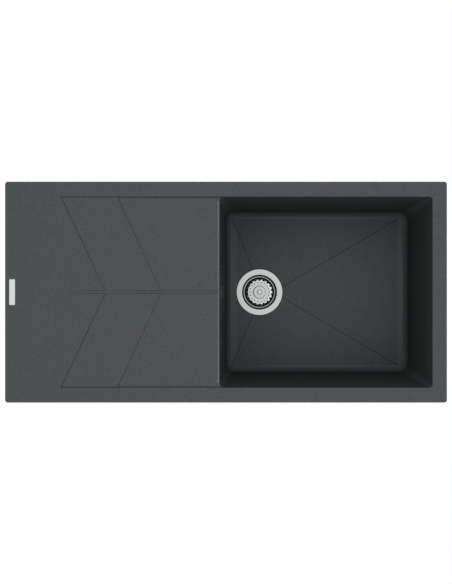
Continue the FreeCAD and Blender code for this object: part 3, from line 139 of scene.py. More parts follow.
def add(tree, kind, inputs=(), **settings):
    """Adds a node. Its inputs are a list in the order of its sockets, or a dict by their names.

    Each one is a value, the output that feeds it, or a node whose first output feeds it.
    """
    made = tree.nodes.new("ShaderNode" + kind)
    for name, value in settings.items():
        setattr(made, name, value)
    pairs = inputs.items() if isinstance(inputs, dict) else enumerate(inputs)
    for name, value in pairs:
        if isinstance(value, bpy.types.Node):
            value = value.outputs[0]
        if isinstance(value, bpy.types.NodeSocket):
            tree.links.new(value, socket(made.inputs, name))
        else:
            socket(made.inputs, name).default_value = value
    return made


print("#808080 is", round(linear("#808080")[0], 3), "of full light")

# %% [markdown]
# ## The room
#
# The photograph's background is plain white, but a white room would light the sink from all
# sides and turn its dark bowl grey. The Light Path node tells what kind of ray is asking: the
# camera, mirrorings and rays through glass are shown white, and every other ray finds a room
# that is nearly dark. So the background is white without any light on the sink, and the
# polished steel still has something bright to mirror.

# %% Room
SKY = 0.02


def shown_background(tree):
    """1 for rays from the camera, and for those in which metal and glass show the background."""
    path = add(tree, "LightPath")
    mirrored = add(tree, "Math", [out(path, "Is Glossy Ray"), out(path, "Is Transmission Ray")],
                   operation="MAXIMUM")
    return add(tree, "Math", [out(path, "Is Camera Ray"), mirrored], operation="MAXIMUM")


world = bpy.data.worlds.new("studio")
bpy.context.scene.world = world
world.use_nodes = True
room = world.node_tree
room.nodes.clear()
strength = add(room, "MapRange", {"Value": shown_background(room), "To Min": SKY, "To Max": 1.0})
background = add(room, "Background", {"Color": linear("#ffffff"), "Strength": strength})
add(room, "OutputWorld", {"Surface": background})
bpy.context.scene.view_settings.view_transform = "Standard"
print("the room's own light:", SKY)

# %% [markdown]
# ## The lamps
#
# In the photograph the deck is even, and the bowl's walls are dark because they hardly face
# the light. That asks for nearly parallel light from straight above, so a soft box of about a
# metre hangs four metres up. It lights a level surface at a strength of about one, at which a
# colour renders about as it is written. A small shift to the right gives the bowl's left wall,
# the steepest one, its share. Mirrorings don't show the box, or it would burn a white spot
# into each piece of steel.
#
# Four low panels stand round the sink, all below the deck's level. They add next to nothing
# to what is seen from above, but from the side they keep the casting's outside, and the
# clamps and pipes under it, from going black.

# %% Lamps
BOX_POWER = 165
BOX_SIZE = (1.3, 0.75)
BOX_HEIGHT = 4.0
BOX_SHIFT = 0.2
SIDES = 4
SIDE_POWER = 10
SIDE_SIZE = (1.4, 0.24)
SIDE_DISTANCE = 1.6
SIDE_LEVEL = -0.13


def panel_light(name, size, power, place, turn):
    """A rectangular lamp; turn is its rotation, and it shines along its own -Z."""
    lamp = bpy.data.lights.new(name, "AREA")
    lamp.shape = "RECTANGLE"
    lamp.size, lamp.size_y = size
    lamp.energy = power
    holder = bpy.data.objects.new(name, lamp)
    holder.location = place
    holder.rotation_euler = turn
    bpy.context.scene.collection.objects.link(holder)
    return holder


soft_box = panel_light("soft_box", BOX_SIZE, BOX_POWER, (BOX_SHIFT, 0, DECK_TOP + BOX_HEIGHT), (0, 0, 0))
soft_box.visible_glossy = False
for index in range(SIDES):
    angle = index * 2 * math.pi / SIDES
    place = (SIDE_DISTANCE * math.cos(angle), SIDE_DISTANCE * math.sin(angle), SIDE_LEVEL)
    side = panel_light("side_%d" % index, SIDE_SIZE, SIDE_POWER, place, (math.pi / 2, 0, angle + math.pi / 2))
    side.visible_camera = False
print("lamps:", len(bpy.data.lights))

# %% [markdown]
# ## The floor
#
# The floor has to look as white as the room and still catch the sink's shadow, or the sink
# would seem to float. So what the camera sees of it is mostly its own glow, and the small
# rest is matt white that darkens in the shadow. Light that bounces from it to the sink finds
# the matt white alone.

# %% Floor
FLOOR_GLOW = 0.95
FLOOR_GAP = 0.5 * MM
ROOM_SIZE = 40


def new_material(name):
    """An empty node material and its tree."""
    made = bpy.data.materials.new(name)
    made.use_nodes = True
    made.node_tree.nodes.clear()
    return made, made.node_tree


def finished(maker, name):
    """Turns a bmesh into an object whose place is in its mesh."""
    mesh = bpy.data.meshes.new(name)
    maker.to_mesh(mesh)
    maker.free()
    made = bpy.data.objects.new(name, mesh)
    bpy.context.scene.collection.objects.link(made)
    return made


ground = bmesh.new()
bmesh.ops.create_grid(ground, x_segments=1, y_segments=1, size=ROOM_SIZE / 2,
                      matrix=Matrix.Translation((0, 0, cad_box[0].z - FLOOR_GAP)))
floor = finished(ground, "floor")
floor_paint, tree = new_material("floor_paint")
matt = add(tree, "BsdfDiffuse", {"Color": linear("#fafafa")})
glow = add(tree, "Emission", {"Color": linear("#ffffff"), "Strength": 1.0})
share = add(tree, "Math", [shown_background(tree), FLOOR_GLOW], operation="MULTIPLY")
add(tree, "OutputMaterial", {"Surface": add(tree, "MixShader", [share, matt, glow])})
floor.data.materials.append(floor_paint)
print("floor level, mm:", round((cad_box[0].z - FLOOR_GAP) / MM, 1))

# %% [markdown]
# ## The casting's finish: grains of quartz
#
# Crushed quartz, about three quarters of the mass, is bound with coloured acrylic resin and
# cast in a mould. What shows is a dark, matt surface in which the single grains, well under a
# millimetre, stand out as paler and darker specks. A plain grey would look like painted
# steel. Cells of a Voronoi pattern stand for the grains: each cell has a random value, and
# only the extremes become specks. The cells are 0.8 mm across, coarser than the finest real
# grains, because smaller ones would vanish in the picture. Under them lies a slow cloudiness,
# some 45 mm from one patch to the next, from resin and grain that never mix quite evenly.

# %% Grains
GRAIN = 0.8 * MM
CLOUD = 45 * MM
CLOUD_DEPTH = 0.04
PALE_SHARE = 0.18
DARK_SHARE = 0.2


def speckled(tree, place, resin, pale_grain, dark_grain):
    """The composite's colour, with pale and dark grains in clouded resin, and the clouds."""
    grains = add(tree, "TexVoronoi", {"Vector": place, "Scale": 1 / GRAIN})
    random = add(tree, "SeparateColor", [out(grains, "Color")])
    pale = add(tree, "MapRange", [random, 1 - PALE_SHARE, 1.0])
    dark = add(tree, "MapRange", [random, DARK_SHARE, 0.0])
    cloud = add(tree, "TexNoise", {"Vector": place, "Scale": 1 / CLOUD, "Detail": 3.0})
    colour = add(tree, "Mix", {"Factor_Float": cloud,
                               "A_Color": [(1 - CLOUD_DEPTH) * v for v in linear(resin)],
                               "B_Color": [(1 + CLOUD_DEPTH) * v for v in linear(resin)]}, data_type="RGBA")
    for amount, grain in ((pale, pale_grain), (dark, dark_grain)):
        colour = add(tree, "Mix", {"Factor_Float": amount, "A_Color": out(colour, "Result_Color"),
                                   "B_Color": linear(grain)}, data_type="RGBA")
    return out(colour, "Result_Color"), cloud


print("grains in a centimetre:", round(10 * MM / GRAIN, 1))

# %% [markdown]
# ## Darker with depth
#
# The bowl's walls darken towards their foot, where less light finds its way. The renderer
# works out some of that, but this studio isn't the photograph's, so the rest is painted, as a
# colour ramp over the height that multiplies the colour.

# %% Depth
BOWL_FOOT = -191 * MM
HEIGHT_SHADES = ((-12, 1.0), (-50, 0.78), (-110, 0.64), (-155, 0.48), (-175, 0.34))


def depth_shade(tree, z):
    """How dark the bowl's walls are at each height; HEIGHT_SHADES gives it by height in mm."""
    down = add(tree, "MapRange", [z, DECK_TOP, BOWL_FOOT])
    ramp = add(tree, "ValToRGB", [down])
    stops = ramp.color_ramp.elements
    stops[0].color, stops[1].color = grey(1.0), grey(HEIGHT_SHADES[-1][1])
    for height, shade in HEIGHT_SHADES:
        stops.new((DECK_TOP - height * MM) / (DECK_TOP - BOWL_FOOT)).color = grey(shade)
    return ramp


print("shade at the foot of the walls:", HEIGHT_SHADES[-1][1])

# %% [markdown]
# ## Only inside the bowl
#
# The ramp may hold only inside the bowl, because the back of the casting keeps its plain
# shade. The walls lean in as they go down, so a point is inside when its distance from the
# bowl's middle, plus the lean at its depth, is less than half of the bowl. That half is
# measured to a place within the wall's thickness, so that the wall's inner face counts as
# inside and its outer face doesn't.

# %% Inside the bowl
BOWL_X = (226 * MM, 246.5 * MM)
BOWL_Y = (0, 220 * MM)
BOWL_LEAN = 20 / 190


def inside_bowl(tree, x, y, z):
    """1 inside the bowl and on its walls, 0 elsewhere."""
    inside = add(tree, "Math", [z, BOWL_FOOT], operation="GREATER_THAN")
    depth = add(tree, "Math", [DECK_TOP, z], operation="SUBTRACT")
    lean = add(tree, "Math", [depth, BOWL_LEAN], operation="MULTIPLY")
    for along, (middle, half) in ((x, BOWL_X), (y, BOWL_Y)):
        offset = add(tree, "Math", [along, middle], operation="SUBTRACT")
        away = add(tree, "Math", [add(tree, "Math", [offset], operation="ABSOLUTE"), lean], operation="ADD")
        near = add(tree, "Math", [away, half], operation="LESS_THAN")
        inside = add(tree, "Math", [inside, near], operation="MULTIPLY")
    return inside


print("bowl, to within its walls, mm:", [round(2 * half / MM) for middle, half in (BOWL_X, BOWL_Y)])

# %% [markdown]
# ## The bowl's floor
#
# The floor faces the light again, so it is much paler than the foot of the walls, though its
# painted shade still leaves it darker than the deck. It is palest in the middle and fades
# towards its four sides, painted shade for the walls hiding more of the room there: a parabola
# each way is close to what the photograph shows. Along the sides runs a level border, made a
# little paler than the creased part inside it by painted light. Height alone tells the floor
# from the round at its edge, and the change takes place within a millimetre or two of height.
# A Map Range node draws it, because a ramp's steps are too coarse for that.

# %% Floor of the bowl
FLOOR_LINE = (-180.6 * MM, -179.2 * MM)
FLOOR_LIFT = 2.14
FLOOR_INNER = (199 * MM, 181 * MM)
FLOOR_FADE = (0.29, 0.36)
BORDER_LIFT = 0.2


def floor_shade(tree, x, y, z):
    """Painted shade of the bowl's floor: how much paler it is than the foot of its walls; 1 above the floor.
    """
    lift, reach = FLOOR_LIFT, 0.0
    for along, bowl, half, loss in zip((x, y), (BOWL_X, BOWL_Y), FLOOR_INNER, FLOOR_FADE):
        offset = add(tree, "Math", [along, bowl[0]], operation="SUBTRACT")
        away = add(tree, "Math", [offset, half], operation="DIVIDE")
        square = add(tree, "Math", [away, away], operation="MULTIPLY")
        kept = add(tree, "Math", [square, -loss, 1.0], operation="MULTIPLY_ADD")
        lift = add(tree, "Math", [lift, kept], operation="MULTIPLY")
        size = add(tree, "Math", [away], operation="ABSOLUTE")
        reach = add(tree, "Math", [reach, size], operation="MAXIMUM")
    past = add(tree, "Math", [reach, 1.0], operation="GREATER_THAN")
    border = add(tree, "Math", [past, BORDER_LIFT, 1.0], operation="MULTIPLY_ADD")
    lift = add(tree, "Math", [lift, border], operation="MULTIPLY")
    return add(tree, "MapRange", [z, FLOOR_LINE[0], FLOOR_LINE[1], lift, 1.0])


print("floor inside its paler border, mm:", [round(2 * half / MM) for half in FLOOR_INNER])

# %% [markdown]
# ## Inner corners
#
# Every inner corner gets painted shade, because light comes least there: the foot of each
# chevron, the channel, the creases of the floor. The Ambient Occlusion node finds such places
# from the shape itself, so that no line has to be drawn by hand. It looks only 5 mm far, or
# the whole bowl would go dark.

# %% Inner corners
CORNER_REACH = 5 * MM
CORNER_SHADE = 0.45
OPENNESS = (0.5, 0.97)
CORNER_RAYS = 8


def painted_corner_shade(tree):
    """Painted shade in inner corners, from CORNER_SHADE where they are closed to 1 in the open."""
    corners = add(tree, "AmbientOcclusion", {"Distance": CORNER_REACH}, samples=CORNER_RAYS, only_local=True)
    return add(tree, "MapRange", [out(corners, "AO"), OPENNESS[0], OPENNESS[1], CORNER_SHADE, 1.0])


print("corners are looked for within, mm:", round(CORNER_REACH / MM))

# %% [markdown]
# ## The lip
#
# The rolled lip between drainboard and bowl is the opposite of a corner: its round always has
# a strip that faces the light. That strip is a painted highlight, a thin paler line drawn
# here by the distance from the lip's crown.

# %% Lip
LIP_X = -17.2 * MM
LIP_HALF = 206 * MM
LIP_HIGHLIGHT = 1.7
LIP_EDGE = (0.8 * MM, 2.4 * MM)


def lip_highlight(tree, x, y, z):
    """The painted highlight: a paler line along the lip between drainboard and bowl; 1 everywhere else."""
    offset = add(tree, "Math", [x, LIP_X], operation="SUBTRACT")
    away = add(tree, "Math", [offset], operation="ABSOLUTE")
    brightened = add(tree, "MapRange", [away, LIP_EDGE[0], LIP_EDGE[1], LIP_HIGHLIGHT, 1.0])
    across = add(tree, "Math", [y], operation="ABSOLUTE")
    between = add(tree, "Math", [across, LIP_HALF], operation="LESS_THAN")
    above = add(tree, "Math", [z, 0.0], operation="GREATER_THAN")
    there = add(tree, "Math", [between, above], operation="MULTIPLY")
    return add(tree, "MapRange", [there, 0.0, 1.0, 1.0, brightened])


print("lip, mm long:", round(2 * LIP_HALF / MM))

# %% [markdown]
# ## The composite
#
# Here the pieces come together in one material: the grained colour, the painted shade and the
# painted highlight that multiply it, a roughness that follows the clouds, and a faint relief.
# Cast against a matt mould, the resin skin has nearly no shine. Resin bends light as glass
# does, so the IOR is 1.5, but the specular level is far below the usual 0.5. The room is white
# to mirrorings from every side, and a fuller shine would lay a grey veil over the dark walls.

# %% Composite
ROUGH = 0.6
ROUGH_CHANGE = 0.04
SHINE = 0.03
GRAIN_RELIEF = 0.03 * MM


def composite(name, resin, pale_grain, dark_grain):
    """Quartz composite: matt and grained, with painted shade in the bowl and corners and a painted highlight
    on the lip.
    """
    made, tree = new_material(name)
    place = out(add(tree, "TexCoord"), "Object")
    axes = add(tree, "SeparateXYZ", [place])
    x, y, z = (out(axes, axis) for axis in "XYZ")
    colour, cloud = speckled(tree, place, resin, pale_grain, dark_grain)
    # Painted shade in the bowl: darker walls, a paler floor, and none outside the bowl.
    bowl = add(tree, "Math", [depth_shade(tree, z), floor_shade(tree, x, y, z)], operation="MULTIPLY")
    bowl = add(tree, "MapRange", [inside_bowl(tree, x, y, z), 0.0, 1.0, 1.0, bowl])
    # Painted shade in the corners, times the lip's painted highlight.
    share = add(tree, "Math", [painted_corner_shade(tree), lip_highlight(tree, x, y, z)], operation="MULTIPLY")
    share = add(tree, "Math", [share, bowl], operation="MULTIPLY")
    shaded = add(tree, "VectorMath", {"Vector": colour, "Scale": share}, operation="SCALE")
    relief = add(tree, "TexNoise", {"Vector": place, "Scale": 1 / GRAIN, "Detail": 2.0})
    bump = add(tree, "Bump", {"Height": relief, "Distance": GRAIN_RELIEF, "Strength": 1.0})
    rough = add(tree, "MapRange", {"Value": cloud, "To Min": ROUGH - ROUGH_CHANGE,
                                   "To Max": ROUGH + ROUGH_CHANGE})
    shader = add(tree, "BsdfPrincipled", {"Base Color": shaded, "Roughness": rough, "IOR": 1.5,
                                          "Specular IOR Level": SHINE, "Normal": bump})
    add(tree, "OutputMaterial", {"Surface": shader})
    return made


# Cast quartz composite: a deep slate grey, dull and grained, soft to the eye like honed stone.
granite = composite("moulded_quartz_composite", resin="#4c5051", pale_grain="#5f6365", dark_grain="#3f4344")
print("composite:", len(granite.node_tree.nodes), "nodes")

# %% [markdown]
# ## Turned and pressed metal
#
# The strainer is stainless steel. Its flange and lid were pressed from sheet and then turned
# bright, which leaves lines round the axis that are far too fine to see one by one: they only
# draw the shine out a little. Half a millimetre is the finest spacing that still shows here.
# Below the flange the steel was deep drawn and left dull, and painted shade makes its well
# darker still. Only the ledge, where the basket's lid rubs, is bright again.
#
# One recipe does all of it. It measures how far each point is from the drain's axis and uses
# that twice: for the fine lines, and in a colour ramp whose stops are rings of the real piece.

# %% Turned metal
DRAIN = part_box("strainer_flange")
DRAIN_CENTRE = (DRAIN[0] + DRAIN[1]) / 2
FLANGE_RADIUS = (DRAIN[1].x - DRAIN[0].x) / 2
LINE_WIDTH = 0.5 * MM
LINE_SHADES = (0.92, 1.06)


def radius_from_drain(tree):
    """The distance from the drain's axis, in metres."""
    place = out(add(tree, "TexCoord"), "Object")
    centred = add(tree, "Mapping", {"Vector": place, "Location": (-DRAIN_CENTRE.x, -DRAIN_CENTRE.y, 0)})
    level = add(tree, "VectorMath", [centred, (1, 1, 0)], operation="MULTIPLY")
    return out(add(tree, "VectorMath", [level], operation="LENGTH"), "Value")


def turned_metal(name, colour, roughness, relief, rings):
    """Metal turned round the drain's axis; rings are (radius in mm, colour) from the middle out."""
    made, tree = new_material(name)
    radius = radius_from_drain(tree)
    lines = add(tree, "TexNoise", {"W": radius, "Scale": 1 / LINE_WIDTH, "Detail": 1.0},
                noise_dimensions="1D")
    bump = add(tree, "Bump", {"Height": lines, "Distance": relief, "Strength": 1.0})
    ramp = add(tree, "ValToRGB", [add(tree, "MapRange", [radius, 0.0, FLANGE_RADIUS])])
    stops = ramp.color_ramp.elements
    stops[0].color, stops[1].color = linear(rings[0][1]), linear(colour)
    for ring_radius, ring_colour in rings:
        stops.new(ring_radius * MM / FLANGE_RADIUS).color = linear(ring_colour)
    smear = add(tree, "MapRange", {"Value": lines, "To Min": LINE_SHADES[0], "To Max": LINE_SHADES[1]})
    lined = add(tree, "VectorMath", {"Vector": ramp, "Scale": smear}, operation="SCALE")
    shader = add(tree, "BsdfPrincipled", {"Base Color": lined, "Metallic": 1.0, "Roughness": roughness,
                                          "Normal": bump})
    add(tree, "OutputMaterial", {"Surface": shader})
    return made


print("flange, mm across:", round(2 * FLANGE_RADIUS / MM, 1))

# %% [markdown]
# ## Three metals from one recipe
#
# The flange, the lid and the knob differ in their rings. Each ring below is a radius in
# millimetres from the axis and the colour there: where the real piece is polished, where it
# is rubbed, where it catches the light, which is a painted highlight, and where its neighbour
# keeps the light off, which is painted shade. Bare metal has little colour beyond what it
# mirrors, so these greys say how much of the white room each ring gives back.

# %% Flange, lid and knob
BRIGHT, DULL_AND_SHADED, WELL_SHADE, LEDGE = "#cacccc", "#5c5e5e", "#484a4b", "#aaacac"
SATIN, TOOTH_HIGHLIGHT, IN_SHADE = "#c8caca", "#f2f4f4", "#8f9191"
CHROME, CHROME_SHADE_LINE = "#c4c6c7", "#939596"

# Drawn stainless, polished on its ring: a calm pale ring round a well darkened with painted
# shade, in which the rubbed ledge is one bright line.
flange_steel = turned_metal("drawn_stainless_flange", BRIGHT, roughness=0.34, relief=0.003 * MM, rings=(
    (35.8, WELL_SHADE), (37.2, DULL_AND_SHADED), (37.6, LEDGE), (38.6, LEDGE), (39.2, DULL_AND_SHADED), (42.0, DULL_AND_SHADED), (42.8, BRIGHT)))

# Pressed stainless: satin on the flat, with a painted highlight on the bent teeth, and painted
# shade in the narrow place round the knob.
lid_steel = turned_metal("pressed_stainless_lid", TOOTH_HIGHLIGHT, roughness=0.3, relief=0.003 * MM, rings=(
    (15.0, IN_SHADE), (16.6, "#c6c8c8"), (26.0, SATIN), (28.4, TOOTH_HIGHLIGHT)))

# Chrome plate over a turned knob: smoother than the steel, with painted shade as dark lines
# where the button meets the knob and round the knob's own edge.
knob_steel = turned_metal("satin_chrome_knob", CHROME, roughness=0.24, relief=0.002 * MM, rings=(
    (5.6, CHROME), (6.4, CHROME_SHADE_LINE), (7.2, CHROME), (14.0, CHROME), (15.2, "#9b9d9e")))
print("steel and chrome:", flange_steel.name, lid_steel.name, knob_steel.name)

# %% [markdown]
# ## Moulded, plated and rubber pieces
#
# Everything under the rim is plainer: injection-moulded polypropylene, nylon dowels, zinc
# plated screws, pressed and galvanised clamps, moulded rubber rings. They share one recipe. A
# noise of the surface's own grain moves the shade a little, and drives the roughness and a
# faint relief too, because on a real surface the same grain does all three.

# %% Recipe for plain surfaces
GRAIN_SHADES = (0.9, 1.08)
GRAIN_ROUGH = 0.06


def plain_surface(name, colour, roughness, grain, relief, metallic=0.0):
    """A moulded, cast or plated surface with a faint grain."""
    made, tree = new_material(name)
    place = out(add(tree, "TexCoord"), "Object")
    texture = add(tree, "TexNoise", {"Vector": place, "Scale": 1 / grain, "Detail": 3.0})
    bump = add(tree, "Bump", {"Height": texture, "Distance": relief, "Strength": 1.0})
    shade = add(tree, "Mix", {"Factor_Float": texture,
                              "A_Color": [GRAIN_SHADES[0] * v for v in linear(colour)],
                              "B_Color": [GRAIN_SHADES[1] * v for v in linear(colour)]}, data_type="RGBA")
    rough = add(tree, "MapRange", {"Value": texture, "To Min": roughness - GRAIN_ROUGH,
                                   "To Max": roughness + GRAIN_ROUGH})
    shader = add(tree, "BsdfPrincipled", {"Base Color": out(shade, "Result_Color"), "Metallic": metallic,
                                          "Roughness": rough, "Normal": bump})
    add(tree, "OutputMaterial", {"Surface": shader})
    return made


print("roughness moves by:", GRAIN_ROUGH)

# %% [markdown]
# What differs between these surfaces is little: the colour, how rough it is, how coarse its
# grain is and how high it stands, and whether it is a metal. Each comment says what the real
# one gives the eye.

# %% Plain surfaces
# Moulded rubber: nearly black and matt, with the mould's fine grain, so it reads as a dark line.
black_rubber = plain_surface("moulded_rubber", "#1e1e1f", roughness=0.75, grain=1 * MM, relief=0.02 * MM)
# Closed-cell foam: its cut cells scatter all light, which makes it the dullest surface here.
foam = plain_surface("closed_cell_foam", "#242425", roughness=0.9, grain=0.8 * MM, relief=0.08 * MM)
# Moulded nylon: black with a low sheen, like a plug for a wall.
nylon = plain_surface("black_nylon", "#1b1c1e", roughness=0.5, grain=1.2 * MM, relief=0.01 * MM)
# Moulded polypropylene: an off-white that looks a little waxy.
polypropylene = plain_surface("white_polypropylene", "#dcdcd8", roughness=0.42, grain=1.5 * MM,
                              relief=0.01 * MM)
# Turned brass: the one warm, yellow shine in the fittings.
brass = plain_surface("turned_brass", "#d2ab62", roughness=0.28, grain=0.8 * MM, relief=0.004 * MM,
                      metallic=1.0)
# Zinc plate: bluish and bright, a little clouded.
zinc = plain_surface("zinc_plate", "#b9bcc0", roughness=0.33, grain=1 * MM, relief=0.006 * MM, metallic=1.0)
# Hot-dip galvanised steel: duller than zinc plate, with spangle some 4 mm across.
galvanised = plain_surface("galvanised_steel", "#a9acae", roughness=0.42, grain=4 * MM, relief=0.01 * MM,
                           metallic=1.0)
# Satin anodised aluminium: blasted and even, nearly white from above.
aluminium = plain_surface("satin_aluminium", "#d8d9d9", roughness=0.4, grain=0.6 * MM, relief=0.003 * MM,
                          metallic=1.0)
for surface in (black_rubber, foam, nylon, polypropylene, brass, zinc, galvanised, aluminium):
    print(surface.name, len(surface.node_tree.nodes), "nodes")

# %% [markdown]
# ## A finish for every CAD piece
#
# The record gives each node a material slot. One table turns slots into materials, and only
# the strainer's flange needs its own entry, because it has both bright and dull steel. The
# overflow's grille and the head of its screw have the sink's own colour, or they would stand
# out on the dark wall.

# %% Finishes
FINISHES = {
    "granite_composite": granite, "badge_metal": aluminium, "sealing_foam": foam, "black_plastic": nylon,
    "stainless": lid_steel, "rubber": black_rubber, "waste_plastic": polypropylene, "brass": brass,
    "screw_steel": zinc, "grille_plastic": granite, "chromed_knob": knob_steel, "clamp_steel": galvanised}

slots = {part["node"]: part["material_slot"] for part in frame["record"]["subparts"]}
for name, node in nodes.items():
    node.data.materials.clear()
    node.data.materials.append(flange_steel if name == "strainer_flange" else FINISHES[slots[name]])
print(len(nodes), "nodes in", len(FINISHES), "finishes")

# %% [markdown]
# ## Turned shapes
#
# Much of a strainer is turned or spun, so one helper makes all of it: a few points of half
# the section, joined by edges, and bmesh's spin carries them once round the drain's axis. A
# subdivision modifier then rounds the section, which is why the points can be so few. Where
# an edge has to stay crisp, two points stand close together.
#
# A second helper dresses any new piece: smooth faces, its material, the body that it rides on
# and the CAD piece that it stands for, which is then hidden.

# %% Turning and dressing
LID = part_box("basket_lid")
LID_TOP = LID[1].z
TURN_STEPS = 48
MERGE = 0.001 * MM


def turned(section, steps, level, closed=False):
    """Spins half a section, (radius, height) in mm above a level, round the drain's axis."""
    maker = bmesh.new()
    points = [maker.verts.new((DRAIN_CENTRE.x + r * MM, DRAIN_CENTRE.y, level + z * MM)) for r, z in section]
    pairs = list(zip(points, points[1:])) + ([(points[-1], points[0])] if closed else [])
    edges = [maker.edges.new(pair) for pair in pairs]
    bmesh.ops.spin(maker, geom=points + edges, cent=(DRAIN_CENTRE.x, DRAIN_CENTRE.y, 0), axis=(0, 0, 1),
                   angle=2 * math.pi, steps=steps, use_merge=True)
    bmesh.ops.remove_doubles(maker, verts=maker.verts[:], dist=MERGE)
    bmesh.ops.recalc_face_normals(maker, faces=maker.faces[:])
    return maker


def dress(piece, material, body, node_replaced, subdivisions=0):
    """Smooths a new piece, gives it its finish, hangs it on the body it rides on and hides the CAD piece it
    stands for.
    """
    for polygon in piece.data.polygons:
        polygon.use_smooth = True
    if subdivisions:
        rounding = piece.modifiers.new("rounding", "SUBSURF")
        rounding.levels = rounding.render_levels = subdivisions
    piece.data.materials.append(material)
    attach(piece, body)
    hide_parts(node_replaced)
    print(piece.name, len(piece.data.vertices), "vertices before its modifiers")


print("lid's top, mm:", round(LID_TOP / MM, 2))

# %% [markdown]
# ## The knob and its button
#
# The knob is what a finger hooks under to lift the basket. It is a chromed turning like a
# mushroom: a narrow neck, an overhanging rim to pull on, and a top that dips slightly towards
# a small button, which hides the stem's end. The rim must be full and round, since that is
# where the light catches. The knob's section is a closed loop, because a hole runs through
# it, and the button's is open, because it starts and ends on the axis.

# %% Knob and button
KNOB = [(3.0, 0.0), (10.9, 0.0), (11.0, 0.4), (10.2, 1.2), (9.6, 2.4), (9.9, 4.6), (12.2, 6.0), (14.4, 6.7),
        (15.2, 7.4), (15.1, 8.3), (14.2, 8.85), (12.6, 8.8), (9.0, 8.5), (6.6, 8.45), (6.35, 8.3),
        (6.3, 7.0), (3.0, 7.0)]
knob = finished(turned(KNOB, TURN_STEPS, LID_TOP, closed=True), "turned_knob")
dress(knob, knob_steel, "basket", "basket_knob", subdivisions=2)

BUTTON = [(0.0, 7.0), (5.7, 7.0), (6.1, 7.3), (6.15, 8.6), (5.8, 9.2), (4.6, 9.42), (2.4, 9.5), (0.0, 9.5)]
button = finished(turned(BUTTON, TURN_STEPS, LID_TOP), "knob_button")
dress(button, knob_steel, "basket", "basket_knob_cap", subdivisions=1)

# %% [markdown]
# ## The basket's lid
#
# The lid is one stamping. The press blanks a disc with 18 teeth, pierces a small hole behind
# each, and bends the teeth down so that they ride on the dish's wall. Here the disc is spun
# as a bare sheet in many narrow steps, 16 to a tooth, so that both the gaps between the teeth
# and the holes can be made by deleting whole faces.

# %% Disc with gaps and holes
TEETH = 18
STEPS_PER_TOOTH = 16
GAP_STEPS = 6
HOLE_STEPS = 4
HOLE_RADIUS = 1.1
HOLE_CIRCLE = 24.5
TOOTH_ROOT = 28.5
LID_SECTION = [(3.2, 0.0), (10.0, 0.0), (17.0, 0.0), (21.5, 0.0), (23.4, 0.0), (24.5, 0.0), (25.6, 0.0),
               (27.6, 0.0), (28.5, -0.08), (29.1, -0.28), (30.3, -0.8), (31.5, -1.35), (32.35, -1.75)]
step_angle = 2 * math.pi / (TEETH * STEPS_PER_TOOTH)


def polar(point):
    """Radius in mm and number of steps round the drain's axis."""
    reach = point - DRAIN_CENTRE
    return math.hypot(reach.x, reach.y) / MM, math.atan2(reach.y, reach.x) / step_angle


def steps_from(turn, middle):
    """How many steps a place is from the nearest tooth's middle, or gap's middle."""
    return abs((turn - middle + STEPS_PER_TOOTH / 2) % STEPS_PER_TOOTH - STEPS_PER_TOOTH / 2)


disc = turned(LID_SECTION, TEETH * STEPS_PER_TOOTH, LID_TOP)
cut = []
for face in disc.faces:
    radius, turn = polar(face.calc_center_median())
    in_gap = radius > TOOTH_ROOT and steps_from(turn, STEPS_PER_TOOTH / 2) < GAP_STEPS / 2
    in_hole = abs(radius - HOLE_CIRCLE) < HOLE_RADIUS and steps_from(turn, 0) < HOLE_STEPS / 2
    if in_gap or in_hole:
        cut.append(face)
bmesh.ops.delete(disc, geom=cut, context="FACES")
print("faces cut away:", len(cut))

# %% [markdown]
# The holes are square so far. Every point on the edge of one is moved straight away from the
# hole's middle until it lies on a circle. Only then does the sheet get its thickness, so that
# every cut edge is square to it. Solidify grows downwards, because the spun sheet is the
# lid's upper face, and for that all faces have to look up. One level of subdivision takes off
# the sharp edges, as tumbling does.

# %% Round holes and thickness
HOLE_ZONE = 1.5 * HOLE_RADIUS
SHEET = 0.95 * MM

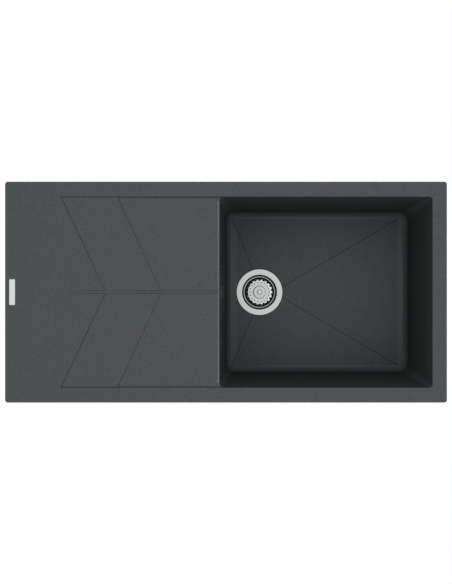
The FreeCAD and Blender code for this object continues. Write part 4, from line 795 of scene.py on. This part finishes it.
for vertex in disc.verts:
    radius, turn = polar(vertex.co)
    if vertex.is_boundary and abs(radius - HOLE_CIRCLE) < HOLE_ZONE:
        angle = round(turn / STEPS_PER_TOOTH) * STEPS_PER_TOOTH * step_angle
        middle = Vector((DRAIN_CENTRE.x + HOLE_CIRCLE * MM * math.cos(angle),
                         DRAIN_CENTRE.y + HOLE_CIRCLE * MM * math.sin(angle), vertex.co.z))
        vertex.co = middle + (vertex.co - middle).normalized() * HOLE_RADIUS * MM
if sum(face.normal.z for face in disc.faces) < 0:
    bmesh.ops.reverse_faces(disc, faces=disc.faces[:])
lid = finished(disc, "stamped_lid")
gauge = lid.modifiers.new("sheet", "SOLIDIFY")
gauge.thickness = SHEET
gauge.offset = -1
dress(lid, lid_steel, "basket", "basket_lid", subdivisions=1)

# %% [markdown]
# ## The plate in the rim
#
# A plain strip of aluminium is let into the rim's left end. A stamped plate never has knife
# edges: its corners are cut to a small radius, and its upper edge is rolled over by the
# punch. So a box is sized to the CAD piece, its four upright edges are bevelled, and then the
# edges of its upper face. Weighted normals keep the wide face looking flat up to the roll.

# %% Plate
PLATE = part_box("badge_plate")
CORNER = 1 * MM
CORNER_STEPS = 5
ROLL = 0.25 * MM
ROLL_STEPS = 3

size = PLATE[1] - PLATE[0]
slab = bmesh.new()
bmesh.ops.create_cube(slab, size=1, matrix=Matrix.Translation((PLATE[0] + PLATE[1]) / 2)
                      @ Matrix.Diagonal((size.x, size.y, size.z, 1)))
upright = [edge for edge in slab.edges if abs(edge.verts[0].co.z - edge.verts[1].co.z) > size.z / 2]
bmesh.ops.bevel(slab, geom=upright, offset=CORNER, affect="EDGES", segments=CORNER_STEPS, profile=0.5,
                material=-1)
top = PLATE[1].z - ROLL
upper = [edge for edge in slab.edges if all(vertex.co.z > top for vertex in edge.verts)]
bmesh.ops.bevel(slab, geom=upper, offset=ROLL, affect="EDGES", segments=ROLL_STEPS, profile=0.5,
                material=-1)
bmesh.ops.recalc_face_normals(slab, faces=slab.faces[:])
plate = finished(slab, "stamped_plate")
dress(plate, aluminium, "sink", "badge_plate")
plate.modifiers.new("even shading", "WEIGHTED_NORMAL")
